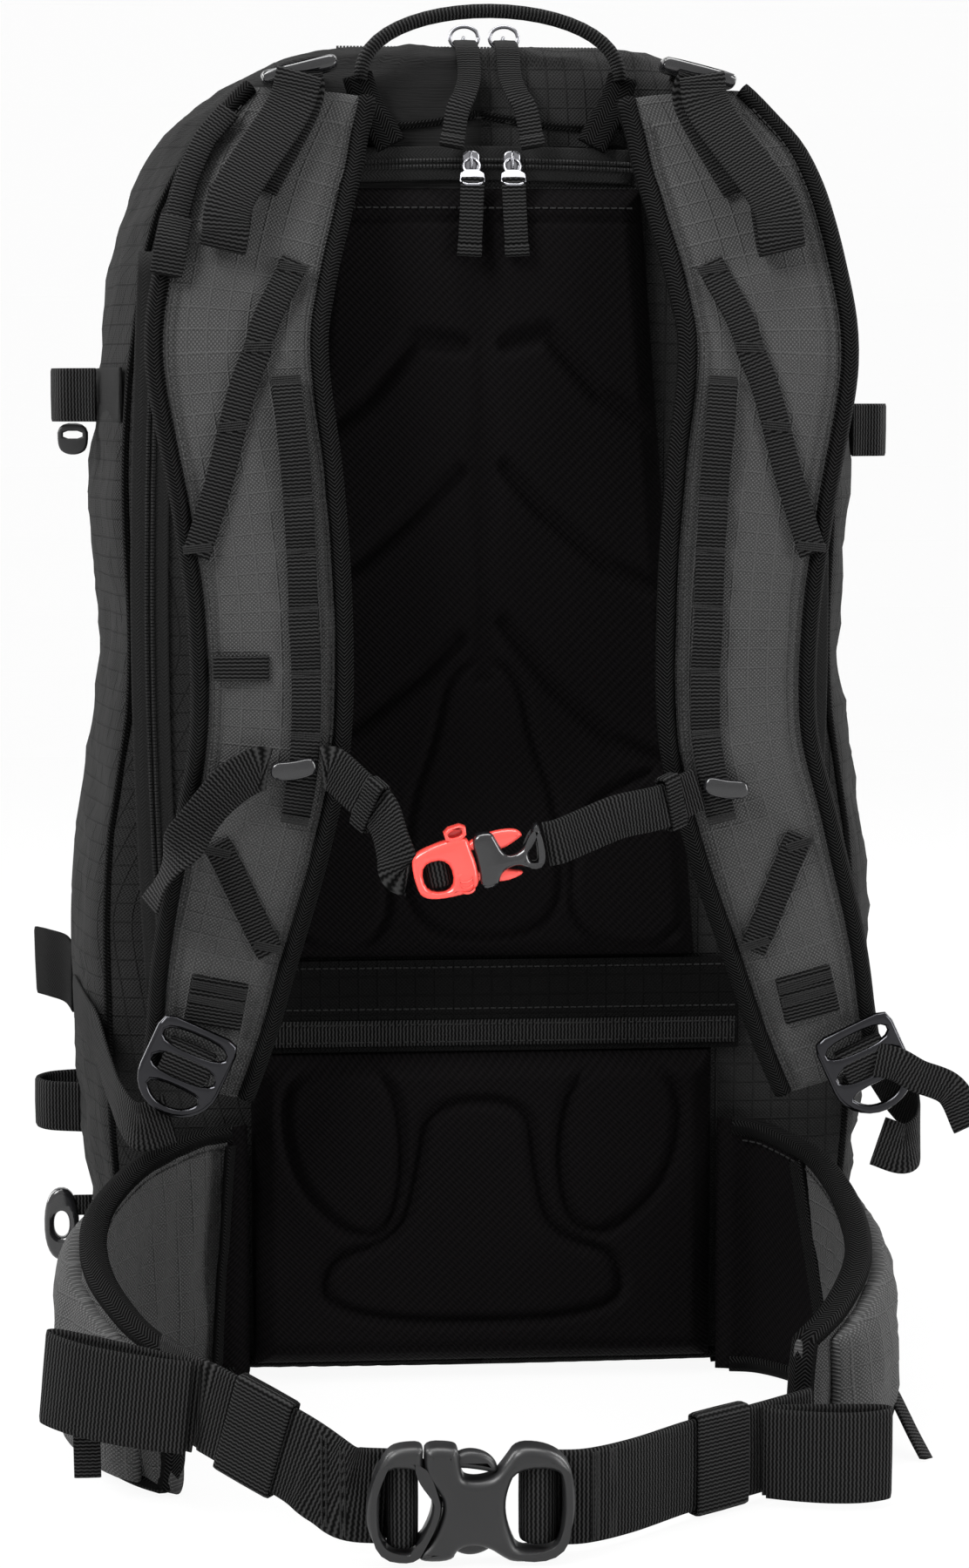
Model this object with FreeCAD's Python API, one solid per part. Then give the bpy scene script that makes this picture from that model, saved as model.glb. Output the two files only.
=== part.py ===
import FreeCAD, Part
import math
import os

# Airbag backpack, standing on its base with the hip belt buckled in front of it.
# Shapes are drawn with y = 0 on the outer face of the back wall, x to the right of someone
# facing the harness, z up from the floor.  save() then moves everything so that the origin
# is the centre of the flat base.  Millimetres throughout.

# ---------------------------------------------------------------- driving dimensions
HEIGHT = 600.0            # floor to crown
HALF_WIDTH = 176.0        # bag, at chest height
DEPTH = 205.0             # bag, back wall to front
WALL = 2.4                # padded bag cloth
BACK_INSET = 17.0         # how much narrower the back seam is than the widest line
SEAM_BASE = 30.0          # height of the seam round the base
COVER = 80.0              # airbag cover, crown to seam
SEAM_TOP = HEIGHT - COVER
SEAM_SIDE = 128.0         # half spacing of the seams between front and sides
GAP = 0.3                 # seat between neighbouring pieces
RUNNING = 0.1             # radial running clearance of a turning fit

SHOULDER_DROP = 25.0      # crown to where the straps leave the bag
SHOULDER_Z = HEIGHT - SHOULDER_DROP
FOAM_DROP = 39.0          # from there to the top of the moulded back panel
FOAM = 12.0               # moulded back panel
FOAM_TOP = SHOULDER_Z - FOAM_DROP
FOAM_FOOT = 193.0
FOAM_HALF_TOP = 70.0
FOAM_HALF_FOOT = 98.0
LUMBAR = 18.0             # lumbar pad
LUMBAR_TOP = 150.0
LUMBAR_FOOT = 6.0
LUMBAR_HALF = 105.0
WAIST_BAND = 4.0          # thickness of the cloth band between foam and lumbar pad
BAND_OVERHANG = 12.0      # how far that band reaches past the lumbar pad on each side

STRAP = 14.0              # shoulder strap thickness
STRAP_FOOT_Z = 144.0      # lower end of the straps
POCKET_WIDTH = 26.0       # trigger pocket inside the left-hand strap of the wearer
POCKET_DEPTH = 9.0
POCKET_FOOT = 310.0
POCKET_LENGTH = 95.0
HANDLE_LENGTH = 66.0
CABLE_R = 2.5             # cable housing
BORE_R = 1.1
WIRE_R = 0.8

WEB_WIDE = 38.0           # hip webbing
WEB_MID = 25.0            # shoulder webbing
WEB_NARROW = 20.0         # sternum and load lifter webbing
WEB = 1.6                 # single webbing
WEB_DOUBLE = 3.6          # folded and stitched webbing
WING = 10.0               # hip wing thickness
WING_HEIGHT = 118.0       # hip wing, at its root

SHEET = 2.0               # frame sheet
STAY_WIDTH = 12.0
STAY = 3.0
STAY_X = 45.0
SHELF_DROP = 22.0         # cover seam to the cloth shelf that carries the folded airbag
SHELF_Z = SEAM_TOP - SHELF_DROP
AIRBAG_HEIGHT = 66.0
CARTRIDGE_R = 28.0
CARTRIDGE_LENGTH = 205.0
CARTRIDGE_X = 102.0
CARTRIDGE_Y = 92.0
NECK_R = 9.0

ADJUSTER_WIDTH = 37.0     # ladder lock at the foot of each shoulder strap
ADJUSTER_HEIGHT = 42.0
ADJUSTER = 4.5
HIP_BUCKLE = (81.0, 47.0, 14.0)        # length, height, thickness
STERNUM_BUCKLE = (57.0, 27.0, 10.0)
HIP_BUCKLE_AT = (-21.0, -240.0, 24.2)
STERNUM_BUCKLE_AT = (-8.0, -97.0, 252.0)
STERNUM_TILT = 12.0                    # degrees, wearer's left end up

# The bag's outline: height share, half-width share, back wall set-back, depth share.
LEVELS = (
    (0.000, 0.860, 0.0, 0.86), (0.045, 0.990, 0.0, 0.93), (0.190, 1.055, 0.0, 0.98),
    (0.360, 1.070, 0.0, 1.00), (0.550, 0.975, 0.0, 1.00), (0.680, 1.005, 0.0, 0.98),
    (0.830, 0.945, 0.0, 0.92), (0.890, 0.885, 0.0, 0.84), (0.935, 0.800, 3.0, 0.74),
    (0.970, 0.640, 10.0, 0.62), (0.992, 0.500, 24.0, 0.53), (1.000, 0.380, 40.0, 0.46))

# Shoulder strap: share of the way down, distance out, distance forward, width.
STRAP_STATIONS = (
    (0.000, 82.0, 8.5, 54.0), (0.040, 91.0, 14.0, 69.0), (0.095, 101.0, 24.0, 77.0),
    (0.180, 110.0, 39.0, 76.0), (0.265, 114.0, 48.0, 77.0), (0.395, 106.0, 53.0, 73.0),
    (0.520, 101.0, 53.0, 69.0), (0.640, 101.5, 53.0, 68.0), (0.740, 111.0, 52.0, 67.0),
    (0.860, 125.0, 46.0, 62.0), (0.940, 133.0, 42.0, 56.0), (1.000, 140.0, 40.0, 48.0))
LEAN = ((0.0, 6.0), (0.64, 6.5), (1.0, 12.0))     # the straps hang a little to one side
BELT_LEAN = ((0.0, 0.0), (9.0, 0.0), (75.0, -8.0), (200.0, -8.0))  # and the belt to the other

# Hip wing, in plan: distance out, distance forward, and top edge as a share of the height.
WING_PLAN = ((1.6, 9.0, 1.00), (24.0, 14.0, 0.98), (46.0, 38.0, 0.92), (58.0, 75.0, 0.82),
             (56.0, 112.0, 0.70), (40.0, 142.0, 0.58), (22.0, 160.0, 0.50))

LEFT, RIGHT = -1, 1


# ---------------------------------------------------------------- helpers
def vec(x, y, z):
    return FreeCAD.Vector(x, y, z)


def save(name, *solids):
    """Write one node, moved so that the origin is the centre of the base."""
    shape = solids[0] if len(solids) == 1 else Part.makeCompound(list(solids))
    shape = shape.copy()
    shape.translate(vec(0, -BASE_CENTRE_Y, 0))
    bad = [s for s in shape.Solids if not s.isValid() or s.Volume <= 0]
    print(f"{name:24s} solids {len(shape.Solids)}  volume {shape.Volume:10.0f}  bad {len(bad)}")
    shape.exportStep(f"parts/{name}.step")


def box(x0, x1, y0, y1, z0, z1):
    return Part.makeBox(x1 - x0, y1 - y0, z1 - z0, vec(x0, y0, z0))


def centred_box(centre, size):
    x, y, z = centre
    a, b, c = size
    return Part.makeBox(a, b, c, vec(x - a / 2, y - b / 2, z - c / 2))


def rounded_box(centre, size, radius):
    """A block with every edge rounded."""
    block = centred_box(centre, size)
    return block.makeFillet(radius, block.Edges)


def cylinder(radius, length, foot, direction):
    return Part.makeCylinder(radius, length, foot, direction)


def outward(solid):
    """The same solid, with a positive volume."""
    if solid.Volume < 0:
        solid.reverse()
    return solid


def blend(a, b, share):
    return a + (b - a) * share


def table(rows, key):
    """Read a table of (key, value) rows by straight interpolation."""
    for (k0, v0), (k1, v1) in zip(rows, rows[1:]):
        if key <= k1:
            return blend(v0, v1, (key - k0) / (k1 - k0))
    return rows[-1][1]


def tangents(points):
    last = len(points) - 1
    return [(points[min(i + 1, last)] - points[max(i - 1, 0)]).normalize()
            for i in range(len(points))]


def frames(points, across):
    """At each point: the point, the direction across the strip, and its normal."""
    result = []
    for point, along in zip(points, tangents(points)):
        side = across - along * across.dot(along)
        side.normalize()
        result.append((point, side, along.cross(side)))
    return result


def strip_from(sections, widths, thick):
    """A flat strip through frames, as one ruled solid."""
    wires = []
    for (point, side, normal), width in zip(sections, widths):
        u = side * (width / 2)
        n = normal * (thick / 2)
        ring = [point - u - n, point + u - n, point + u + n, point - u + n, point - u - n]
        wires.append(Part.makePolygon(ring))
    return outward(Part.makeLoft(wires, True, True))


def strip(points, across, width, thick):
    """A strip of even width along points, each given as (x, y, z)."""
    path = [vec(*p) for p in points]
    return strip_from(frames(path, across), [width] * len(path), thick)


def tube_path(points):
    """Straight runs joined by tangent arcs, as large as the runs allow."""
    points = [vec(*p) for p in points]
    edges = []
    radii = []
    start = points[0]
    for before, corner, after in zip(points, points[1:], points[2:]):
        arriving = (corner - before).normalize()
        leaving = (after - corner).normalize()
        shorter = min((corner - before).Length, (after - corner).Length)
        setback = 0.45 * shorter
        half_turn = arriving.getAngle(leaving) / 2
        radii.append(setback / math.tan(half_turn))
        enter = corner - arriving * setback
        leave = corner + leaving * setback
        inward = (leaving - arriving).normalize()
        middle = corner + inward * (radii[-1] / math.cos(half_turn) - radii[-1])
        edges.append(Part.LineSegment(start, enter).toShape())
        edges.append(Part.Arc(enter, middle, leave).toShape())
        start = leave
    edges.append(Part.LineSegment(start, points[-1]).toShape())
    return Part.Wire(edges), radii


def tube(points, radius):
    path, radii = tube_path(points)
    start, along = vec(*points[0]), vec(*points[1]) - vec(*points[0])
    ring = Part.Wire([Part.makeCircle(radius, start, along)])
    return outward(path.makePipeShell([ring], True, False))


def turned(shape, centre, axis, degrees):
    shape = shape.copy()
    shape.rotate(vec(*centre), axis, degrees)
    return shape


# ---------------------------------------------------------------- bag shell
BASE_CENTRE_Y = DEPTH * LEVELS[0][3] / 2


def section(level, inset, back):
    """One plan outline of the bag: a straight back edge and one curve round the rest."""
    height, half, set_back, deep = level
    z = inset + height * (HEIGHT - 2 * inset)
    wide = HALF_WIDTH * half - inset
    back_half = wide - BACK_INSET
    y0 = back if set_back == 0 else set_back + inset
    y1 = DEPTH * deep - inset
    room = y1 - y0
    curve = [(back_half, y0), (wide, y0 + 0.40 * room), (wide * 0.95, y0 + 0.68 * room),
             (wide * 0.74, y0 + 0.89 * room), (wide * 0.40, y0 + 0.98 * room), (0, y1)]
    points = [vec(x, y, z) for x, y in curve]
    points += [vec(-x, y, z) for x, y in reversed(curve[:-1])]
    spline = Part.BSplineCurve()
    spline.interpolate(points)
    edge = Part.LineSegment(points[-1], points[0]).toShape()
    return Part.Wire([edge, spline.toShape()])


def bag_volume(inset, back):
    return outward(Part.makeLoft([section(level, inset, back) for level in LEVELS], True, True))


OUTER = bag_volume(0.0, 0.0)
INNER = bag_volume(WALL, -1.0)
SHELL = OUTER.cut(INNER)
FAR = 400.0               # beyond every side of the bag


def side_x(side, y, z):
    """How far out the bag's side is at one depth and height."""
    ray = Part.LineSegment(vec(0, y, z), vec(side * FAR, y, z)).toShape().common(OUTER)
    return ray.BoundBox.XMax if side > 0 else ray.BoundBox.XMin


def side_lean(side, y, z):
    """Direction up the bag's side at one point."""
    rise = 20.0
    return vec(side_x(side, y, z + rise / 2) - side_x(side, y, z - rise / 2), 0, rise)


def side_reach(side, ys, zs):
    """The furthest out that the bag's side comes over a patch."""
    return side * max(side * side_x(side, y, z) for y in ys for z in zs)


def back_y(x, z):
    """Depth of the bag's back surface, which leans forward of zero near the crown."""
    ray = Part.LineSegment(vec(x, -50, z), vec(x, FAR, z)).toShape().common(OUTER)
    return ray.BoundBox.YMin


def bag_panels(cable_hole):
    middle = box(-FAR, FAR, -10, FAR, SEAM_BASE, SEAM_TOP)
    body = SHELL.common(middle)
    save("bag_base", SHELL.common(box(-FAR, FAR, -10, FAR, -1, SEAM_BASE)))
    save("bag_top", SHELL.common(box(-FAR, FAR, -10, FAR, SEAM_TOP, HEIGHT + 1)).cut(cable_hole))
    save("bag_left_side", body.common(box(-FAR, -SEAM_SIDE, -10, FAR, 0, HEIGHT)))
    save("bag_right_side", body.common(box(SEAM_SIDE, FAR, -10, FAR, 0, HEIGHT)))
    save("bag_front", body.common(box(-SEAM_SIDE, SEAM_SIDE, -10, FAR, 0, HEIGHT)))


def back_wall(cable_hole):
    wall = INNER.common(box(-FAR, FAR, 0, WALL, 0, HEIGHT)).cut(cable_hole)
    band_half = LUMBAR_HALF + BAND_OVERHANG
    band = box(-band_half, band_half, -WAIST_BAND, 0,
               LUMBAR_TOP + GAP, FOAM_FOOT - GAP)
    save("back_wall", wall, band)


# ---------------------------------------------------------------- frame and pads
def plate(outline, y0, y1, radius):
    """A flat plate in the x-z plane with rounded corners."""
    ring = Part.makePolygon([vec(x, y0, z) for x, z in outline + outline[:1]])
    solid = outward(Part.Face(ring).extrude(vec(0, y1 - y0, 0)))
    corners = [e for e in solid.Edges if abs(abs(e.tangentAt(e.FirstParameter).y) - 1) < 1e-6]
    return solid.makeFillet(radius, corners)


def back_foam():
    outline = [(-FOAM_HALF_FOOT, FOAM_FOOT), (FOAM_HALF_FOOT, FOAM_FOOT),
               (FOAM_HALF_TOP, FOAM_TOP), (-FOAM_HALF_TOP, FOAM_TOP)]
    save("back_foam", plate(outline, -FOAM, 0, 14.0))


def lumbar_pad():
    outline = [(-LUMBAR_HALF, LUMBAR_FOOT), (LUMBAR_HALF, LUMBAR_FOOT),
               (LUMBAR_HALF, LUMBAR_TOP), (-LUMBAR_HALF, LUMBAR_TOP)]
    save("lumbar_pad", plate(outline, -LUMBAR, 0, 10.0))


def frame():
    sheet_y = WALL + GAP
    half = FOAM_HALF_FOOT + 12
    foot, top = SEAM_BASE, SHELF_Z - 8
    outline = [(-half, foot), (half, foot), (half, top), (-half, top)]
    save("frame_sheet", plate(outline, sheet_y, sheet_y + SHEET, 20.0))
    stay_y = sheet_y + SHEET
    stays = [box(x - STAY_WIDTH / 2, x + STAY_WIDTH / 2, stay_y, stay_y + STAY, foot + 12, top - 12)
             for x in (-STAY_X, STAY_X)]
    save("frame_stays", *stays)


# ---------------------------------------------------------------- airbag system
NOZZLE_R = 12.0
INFLATOR = (46.0, 44.0, 40.0)
INFLATOR_AT = (CARTRIDGE_X, CARTRIDGE_Y, SHELF_Z - WALL - INFLATOR[2] / 2)
INFLATOR_FOOT = INFLATOR_AT[2] - INFLATOR[2] / 2
SOCKET_DEPTH = 16.0
LEVER_R = 22.0
LEVER = 4.0
PIN_R = 2.5
LEVER_X = CARTRIDGE_X - INFLATOR[0] / 2 - GAP - LEVER
LEVER_PIN = (LEVER_X, CARTRIDGE_Y - 8, INFLATOR_AT[2] + 4)
EYE_R = 4.0
EYE_Z = LEVER_PIN[2] - LEVER_R
GAUGE_R = 11.0
GAUGE = 5.0
GAUGE_AT = (CARTRIDGE_X, CARTRIDGE_Y + INFLATOR[1] / 2, INFLATOR_AT[2])


def airbag_shelf(cable_hole):
    inside = bag_volume(WALL + GAP, -1.0)
    shelf = inside.common(box(-FAR, FAR, WALL + GAP, FAR, SHELF_Z - WALL, SHELF_Z))
    nozzle = cylinder(NOZZLE_R + GAP, 10, vec(CARTRIDGE_X, CARTRIDGE_Y, SHELF_Z - 6), vec(0, 0, 1))
    save("airbag_shelf", shelf.cut(nozzle).cut(cable_hole))


def airbag(cable_hole):
    """Folded and packed in a roll across the top of the bag."""
    centre = (0, 78, SHELF_Z + AIRBAG_HEIGHT / 2)
    roll = rounded_box(centre, (240, 92, AIRBAG_HEIGHT), 20.0)
    save("airbag", roll.common(bag_volume(WALL + 2, -1.0)).cut(cable_hole))


def inflator():
    body = rounded_box(INFLATOR_AT, INFLATOR, 3.0)
    socket = cylinder(NECK_R + RUNNING, SOCKET_DEPTH,
                      vec(CARTRIDGE_X, CARTRIDGE_Y, INFLATOR_FOOT), vec(0, 0, 1))
    top = INFLATOR_AT[2] + INFLATOR[2] / 2
    nozzle = cylinder(NOZZLE_R, SHELF_Z - top + 4,
                      vec(CARTRIDGE_X, CARTRIDGE_Y, top - 4), vec(0, 0, 1))
    pin = cylinder(PIN_R, LEVER + GAP + 8, vec(LEVER_X - 2, *LEVER_PIN[1:]), vec(1, 0, 0))
    gauge = cylinder(GAUGE_R, GAUGE, vec(*GAUGE_AT), vec(0, 1, 0))
    body = body.cut(socket).fuse(nozzle).fuse(pin).fuse(gauge)
    save("inflator", body.removeSplitter())


def valve_lever():
    """Swings about the pin when the trigger wire is pulled."""
    x, y, z = LEVER_PIN
    hub = cylinder(7.0, LEVER, vec(*LEVER_PIN), vec(1, 0, 0))
    arm = box(x, x + LEVER, y - EYE_R, y + EYE_R, EYE_Z, z)
    eye = cylinder(EYE_R, LEVER, vec(x, y, EYE_Z), vec(1, 0, 0))
    lever = hub.fuse(arm).fuse(eye)
    lever = lever.cut(cylinder(PIN_R + RUNNING, LEVER + 2, vec(x - 1, y, z), vec(1, 0, 0)))
    lever = lever.cut(cylinder(1.5, LEVER + 2, vec(x - 1, y, EYE_Z), vec(1, 0, 0)))
    save("valve_lever", lever.removeSplitter())


def gas_cartridge():
    top = INFLATOR_FOOT - 8
    neck = cylinder(NECK_R, 12 + SOCKET_DEPTH - 1,
                    vec(CARTRIDGE_X, CARTRIDGE_Y, INFLATOR_FOOT - 12), vec(0, 0, 1))
    foot = top - CARTRIDGE_LENGTH
    barrel = cylinder(CARTRIDGE_R, CARTRIDGE_LENGTH, vec(CARTRIDGE_X, CARTRIDGE_Y, foot),
                      vec(0, 0, 1))
    barrel = barrel.makeFillet(CARTRIDGE_R * 0.6, [e for e in barrel.Edges if e.Closed])
    save("gas_cartridge", barrel.fuse(neck).removeSplitter())


def gauge_needle():
    x, y, z = GAUGE_AT
    face = y + GAUGE + GAP
    hub = cylinder(2.0, 1.0, vec(x, face, z), vec(0, 1, 0))
    pointer = box(x - 0.6, x + 0.6, face, face + 0.8, z, z + GAUGE_R - 2)
    save("gauge_needle", hub.fuse(pointer).removeSplitter())


# ---------------------------------------------------------------- shoulder straps
def strap_sections(side):
    points = []
    for share, out, forward, _ in STRAP_STATIONS:
        z = blend(SHOULDER_Z, STRAP_FOOT_Z, share)
        points.append(vec(side * out + table(LEAN, share), -forward, z))
    result = []
    for point, along, row in zip(points, tangents(points), STRAP_STATIONS):
        along.x *= min(1.0, 0.15 + row[0] / 0.2)      # the upper end is sewn in level
        along.normalize()
        out = vec(0, -1, 0) - along * vec(0, -1, 0).dot(along)
        out.normalize()
        result.append((point, along.cross(out), out))
    return result


def on_strap(side, share, across, proud):
    """A point on the front of a strap: share of its length down, mm towards +x, mm proud."""
    keys = [row[0] for row in STRAP_STATIONS]
    sections = strap_sections(side)
    for i in range(len(keys) - 1):
        if share <= keys[i + 1]:
            break
    f = (share - keys[i]) / (keys[i + 1] - keys[i])
    point, side_way, out = (a + (b - a) * f for a, b in zip(sections[i], sections[i + 1]))
    if side_way.x < 0:
        side_way = side_way * -1
    return point + side_way.normalize() * across + out.normalize() * (STRAP / 2 + proud)


POCKET_X = 107.3          # middle of the trigger pocket, inside the strap
POCKET_Y = -53.0
HANDLE_TOP = POCKET_FOOT + POCKET_LENGTH - 2
HOUSING_FOOT = POCKET_FOOT + POCKET_LENGTH + 6
WIRE_X = LEVER_X + LEVER / 2
CABLE_STRAIGHT = 14.0     # straight start of the cable housing
CABLE_BEND = SHOULDER_Z - 41     # where it turns in over the shoulder


def climb(share):
    """Height of a place on the way from the trigger pocket to the shoulder."""
    return blend(HOUSING_FOOT + CABLE_STRAIGHT, CABLE_BEND, share)


CABLE_ROUTE = (
    (POCKET_X, POCKET_Y, HOUSING_FOOT), (POCKET_X, POCKET_Y, climb(0.0)),
    (POCKET_X + 5, -51.5, climb(0.19)), (POCKET_X + 12, -46.5, climb(0.45)),
    (POCKET_X + 9, -37, climb(0.725)), (POCKET_X + 1, -24, CABLE_BEND),
    (POCKET_X - 8, -8, SHOULDER_Z - 19), (POCKET_X - 16, 15, SHOULDER_Z - 13),
    (POCKET_X - 24, 26, SHOULDER_Z - 29), (POCKET_X - 26, 31, SHOULDER_Z - 55),
    (WIRE_X + 2, 24, SHELF_Z - 2), (WIRE_X, 25, SHELF_Z - 24), (WIRE_X, 40, EYE_Z),
    (WIRE_X, 54, EYE_Z))


def shoulder_straps(cable_hole):
    for side, name in ((LEFT, "left"), (RIGHT, "right")):
        widths = [row[3] for row in STRAP_STATIONS]
        strap = strip_from(strap_sections(side), widths, STRAP)
        if side == RIGHT:
            pocket = box(POCKET_X - POCKET_WIDTH / 2, POCKET_X + POCKET_WIDTH / 2,
                         POCKET_Y - POCKET_DEPTH / 2, POCKET_Y + POCKET_DEPTH / 2,
                         POCKET_FOOT, POCKET_FOOT + POCKET_LENGTH)
            throat = cylinder(CABLE_R + GAP, 14, vec(POCKET_X, POCKET_Y, HANDLE_TOP), vec(0, 0, 1))
            strap = strap.cut(pocket).cut(throat).cut(cable_hole)
        save(f"shoulder_strap_{name}", strap)


def trigger():
    centre = (POCKET_X, POCKET_Y, HANDLE_TOP - HANDLE_LENGTH / 2)
    grip = rounded_box(centre, (POCKET_WIDTH - 3, POCKET_DEPTH - 1.2, HANDLE_LENGTH), 3.0)
    save("trigger_handle", grip)
    low, high = vec(POCKET_X, POCKET_Y, HANDLE_TOP + RUNNING), vec(*CABLE_ROUTE[-1])
    reach = LEVER_PIN[1] - EYE_R - RUNNING - high.y
    wire = tube(CABLE_ROUTE, WIRE_R)
    wire = wire.fuse(cylinder(WIRE_R, HOUSING_FOOT - low.z, low, vec(0, 0, 1)))
    wire = wire.fuse(cylinder(WIRE_R, reach, high, vec(0, 1, 0)))
    save("trigger_wire", wire.removeSplitter())
    housing = tube(CABLE_ROUTE, CABLE_R).cut(tube(CABLE_ROUTE, BORE_R))
    save("trigger_cable_housing", housing)
    print("cable radii", [round(r) for r in tube_path(CABLE_ROUTE)[1]])


# ---------------------------------------------------------------- webbing on the straps
TRIM_GAP = 2 * GAP         # webbing sewn on the curved front of a strap
PATCH_END = {LEFT: 0.930, RIGHT: 0.9445}   # where the foot patches meet the ladder locks
CHAIN = 13.0
DIAGONAL = 12.0


def strap_points(side, stops, proud):
    """Points along the front of a strap through (share, across) stops and its stations."""
    shares = {share for share, _ in stops}
    shares |= {row[0] for row in STRAP_STATIONS if stops[0][0] < row[0] < stops[-1][0]}
    return [on_strap(side, share, table(stops, share), proud) for share in sorted(shares)]


def strap_line(side, stops, width, thick=WEB):
    """Webbing laid along the front of a strap."""
    points = strap_points(side, stops, TRIM_GAP + thick / 2)
    return strip_from(frames(points, vec(1, 0, 0)), [width] * len(points), thick)


def strap_trims():
    """Daisy chain, upper and lower diagonals of each strap."""
    solids = []
    for side in (LEFT, RIGHT):
        inner = -side
        solids.append(strap_line(side, [(s, inner * a) for s, a in
                      ((0.29, 20), (0.395, 17), (0.52, 14), (0.64, 15), (0.71, 16))], CHAIN))
        solids.append(strap_line(side, [(s, inner * a) for s, a in
                      ((0.165, 20), (0.26, 9), (0.45, -29))], DIAGONAL))
        solids.append(strap_line(side, [(s, inner * a) for s, a in
                      ((0.75, -15), (0.845, 19))], DIAGONAL))
        solids.append(strap_line(side, [(0.88, 0), (PATCH_END[side], 0)], WEB_MID))
    save("strap_trims", *solids)


def lifters():
    """Load lifter webbing: from the strap up to its buckle, and the folded tail."""
    solids = []
    for side in (LEFT, RIGHT):
        x, y, z = lifter_at(side)
        laid = strap_points(side, [(0.02, side * 1), (0.105, side * 4)], 3 * GAP + WEB / 2)
        sewn, upper = laid[-1], laid[0]
        top = vec(x, y - LIFTER[1] / 2 - 4 * GAP - WEB / 2, z - 2)
        route = laid[::-1] + [top]
        solids.append(strip_from(frames(route, vec(1, 0, 0)), [WEB_NARROW] * len(route), WEB))
        tail = [top + vec(0, -WEB - GAP, 0), upper + vec(side * 5, -9, -4),
                sewn + vec(side * 9, -14, -4), sewn + vec(side * 13, -20, -22),
                sewn + vec(side * 14, -16.5, -26), sewn + vec(side * 13, -13, -23)]
        solids.append(strip_from(frames(tail, vec(1, 0, 0.25 * side)), [WEB_NARROW] * 6, WEB))
        rear = y + LIFTER[1] / 2 + 5 * GAP
        seat = back_y(x, z) - (3.4 if side == LEFT else 7.0)
        anchor = [(x, rear, z), (x, seat, z - 1)]
        solids.append(strip(anchor, vec(1, 0, -0.25 * side), WEB_NARROW, WEB))
    save("load_lifter_webbing", *solids)


LIFTER = (34.0, 20.0, 6.0)
LIFTER_TILT = 14.0


def lifter_at(side):
    return (side * 87.0 + 7.0, -9.0, SHOULDER_Z + 10.5)


def lifter_buckles():
    for side, name in ((LEFT, "left"), (RIGHT, "right")):
        at = lifter_at(side)
        frame_block = rounded_box(at, LIFTER, 2.4)
        for y in (-4.6, 4.6):
            slot = centred_box((at[0], at[1] + y, at[2]), (WEB_NARROW + 2, 4.2, 20))
            frame_block = frame_block.cut(slot)
        frame_block = turned(frame_block, at, vec(0, 1, 0), side * LIFTER_TILT)
        save(f"lifter_buckle_{name}", frame_block)


def adjuster_at(side):
    point = on_strap(side, 0.965, 0, 6 * GAP + WEB + ADJUSTER / 2)
    out, drop = (19, 5) if side == RIGHT else (9, 2)
    return (point.x + side * out, point.y - 1.5, point.z - drop)


SIDE_CLEAR = GAP + WEB / 2 + 0.6   # from the bag's side to the middle of webbing on it
ADJUSTER_TILT = 25.0
ADJUSTER_BAR = 4.2


def adjusters():
    """Ladder locks: a frame with a round foot and two cross bars."""
    for side, name in ((LEFT, "left"), (RIGHT, "right")):
        x, y, z = adjuster_at(side)
        half_w, half_h, bar = ADJUSTER_WIDTH / 2, ADJUSTER_HEIGHT / 2, ADJUSTER_BAR
        block = centred_box((x, y, z), (ADJUSTER_WIDTH, ADJUSTER, ADJUSTER_HEIGHT))
        edges = [e for e in block.Edges if abs(abs(e.tangentAt(0).y) - 1) < 1e-6]
        foot = [e for e in edges if e.CenterOfMass.z < z]
        block = block.makeFillet(half_w * 0.72, foot)
        head = [e for e in block.Edges if e.BoundBox.YLength > ADJUSTER - 0.1
                and e.BoundBox.ZLength < 0.1 and e.CenterOfMass.z > z + half_h - 0.1]
        block = block.makeFillet(5.0, head)
        open_w = ADJUSTER_WIDTH - 2 * bar
        step = (ADJUSTER_HEIGHT - 4 * bar) / 3
        for i in range(3):
            low = z - half_h + bar + i * (step + bar)
            width = open_w if i else open_w * 0.62
            slot = box(x - width / 2, x + width / 2, y - 10, y + 10, low, low + step)
            block = block.cut(slot)
        block = turned(block, (x, y, z), vec(0, 1, 0), -side * ADJUSTER_TILT)
        save(f"adjuster_{name}", block)


def strap_webbing():
    """Webbing from the foot of each strap to the side of the bag, and its loose tail."""
    solids = []
    for side, height, drop in ((LEFT, 168, 26), (RIGHT, 150, 38)):
        x, y, z = adjuster_at(side)
        back = y + ADJUSTER / 2 + 3 * GAP + WEB / 2
        hug = [vec(side_x(side, deep, height - lower) + side * (SIDE_CLEAR + 1.8), deep,
                   height - lower) for deep, lower in ((46, 0), (32, 2), (18, 5), (3, 9))]
        free = [vec(x + side * 28, -22, z - drop + 8), vec(x + side * 24, back + 2, z - drop),
                vec(x + side * 16, back, z - drop - 2), vec(x + side * 6, back, z - drop + 3)]
        points = hug + free
        across = side_lean(side, 30, height)
        solids.append(strip_from(frames(points, across), [WEB_MID * 0.9] * len(points), WEB))
    tail = [(x + 29.5, y - 1.5, z - 1), (x + 36, y - 4, z - 12), (x + 45, y - 5, z - 28)]
    solids.append(strip(tail, vec(0.6, 0, 0.7), WEB_MID * 0.7, WEB_DOUBLE))
    save("strap_webbing", *solids)


# ---------------------------------------------------------------- side release buckles
def arm_root(size):
    """Distance from the buckle's centre to the inner end of its latch arms."""
    return -size[0] * (0.16 + 0.045) - GAP


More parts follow.
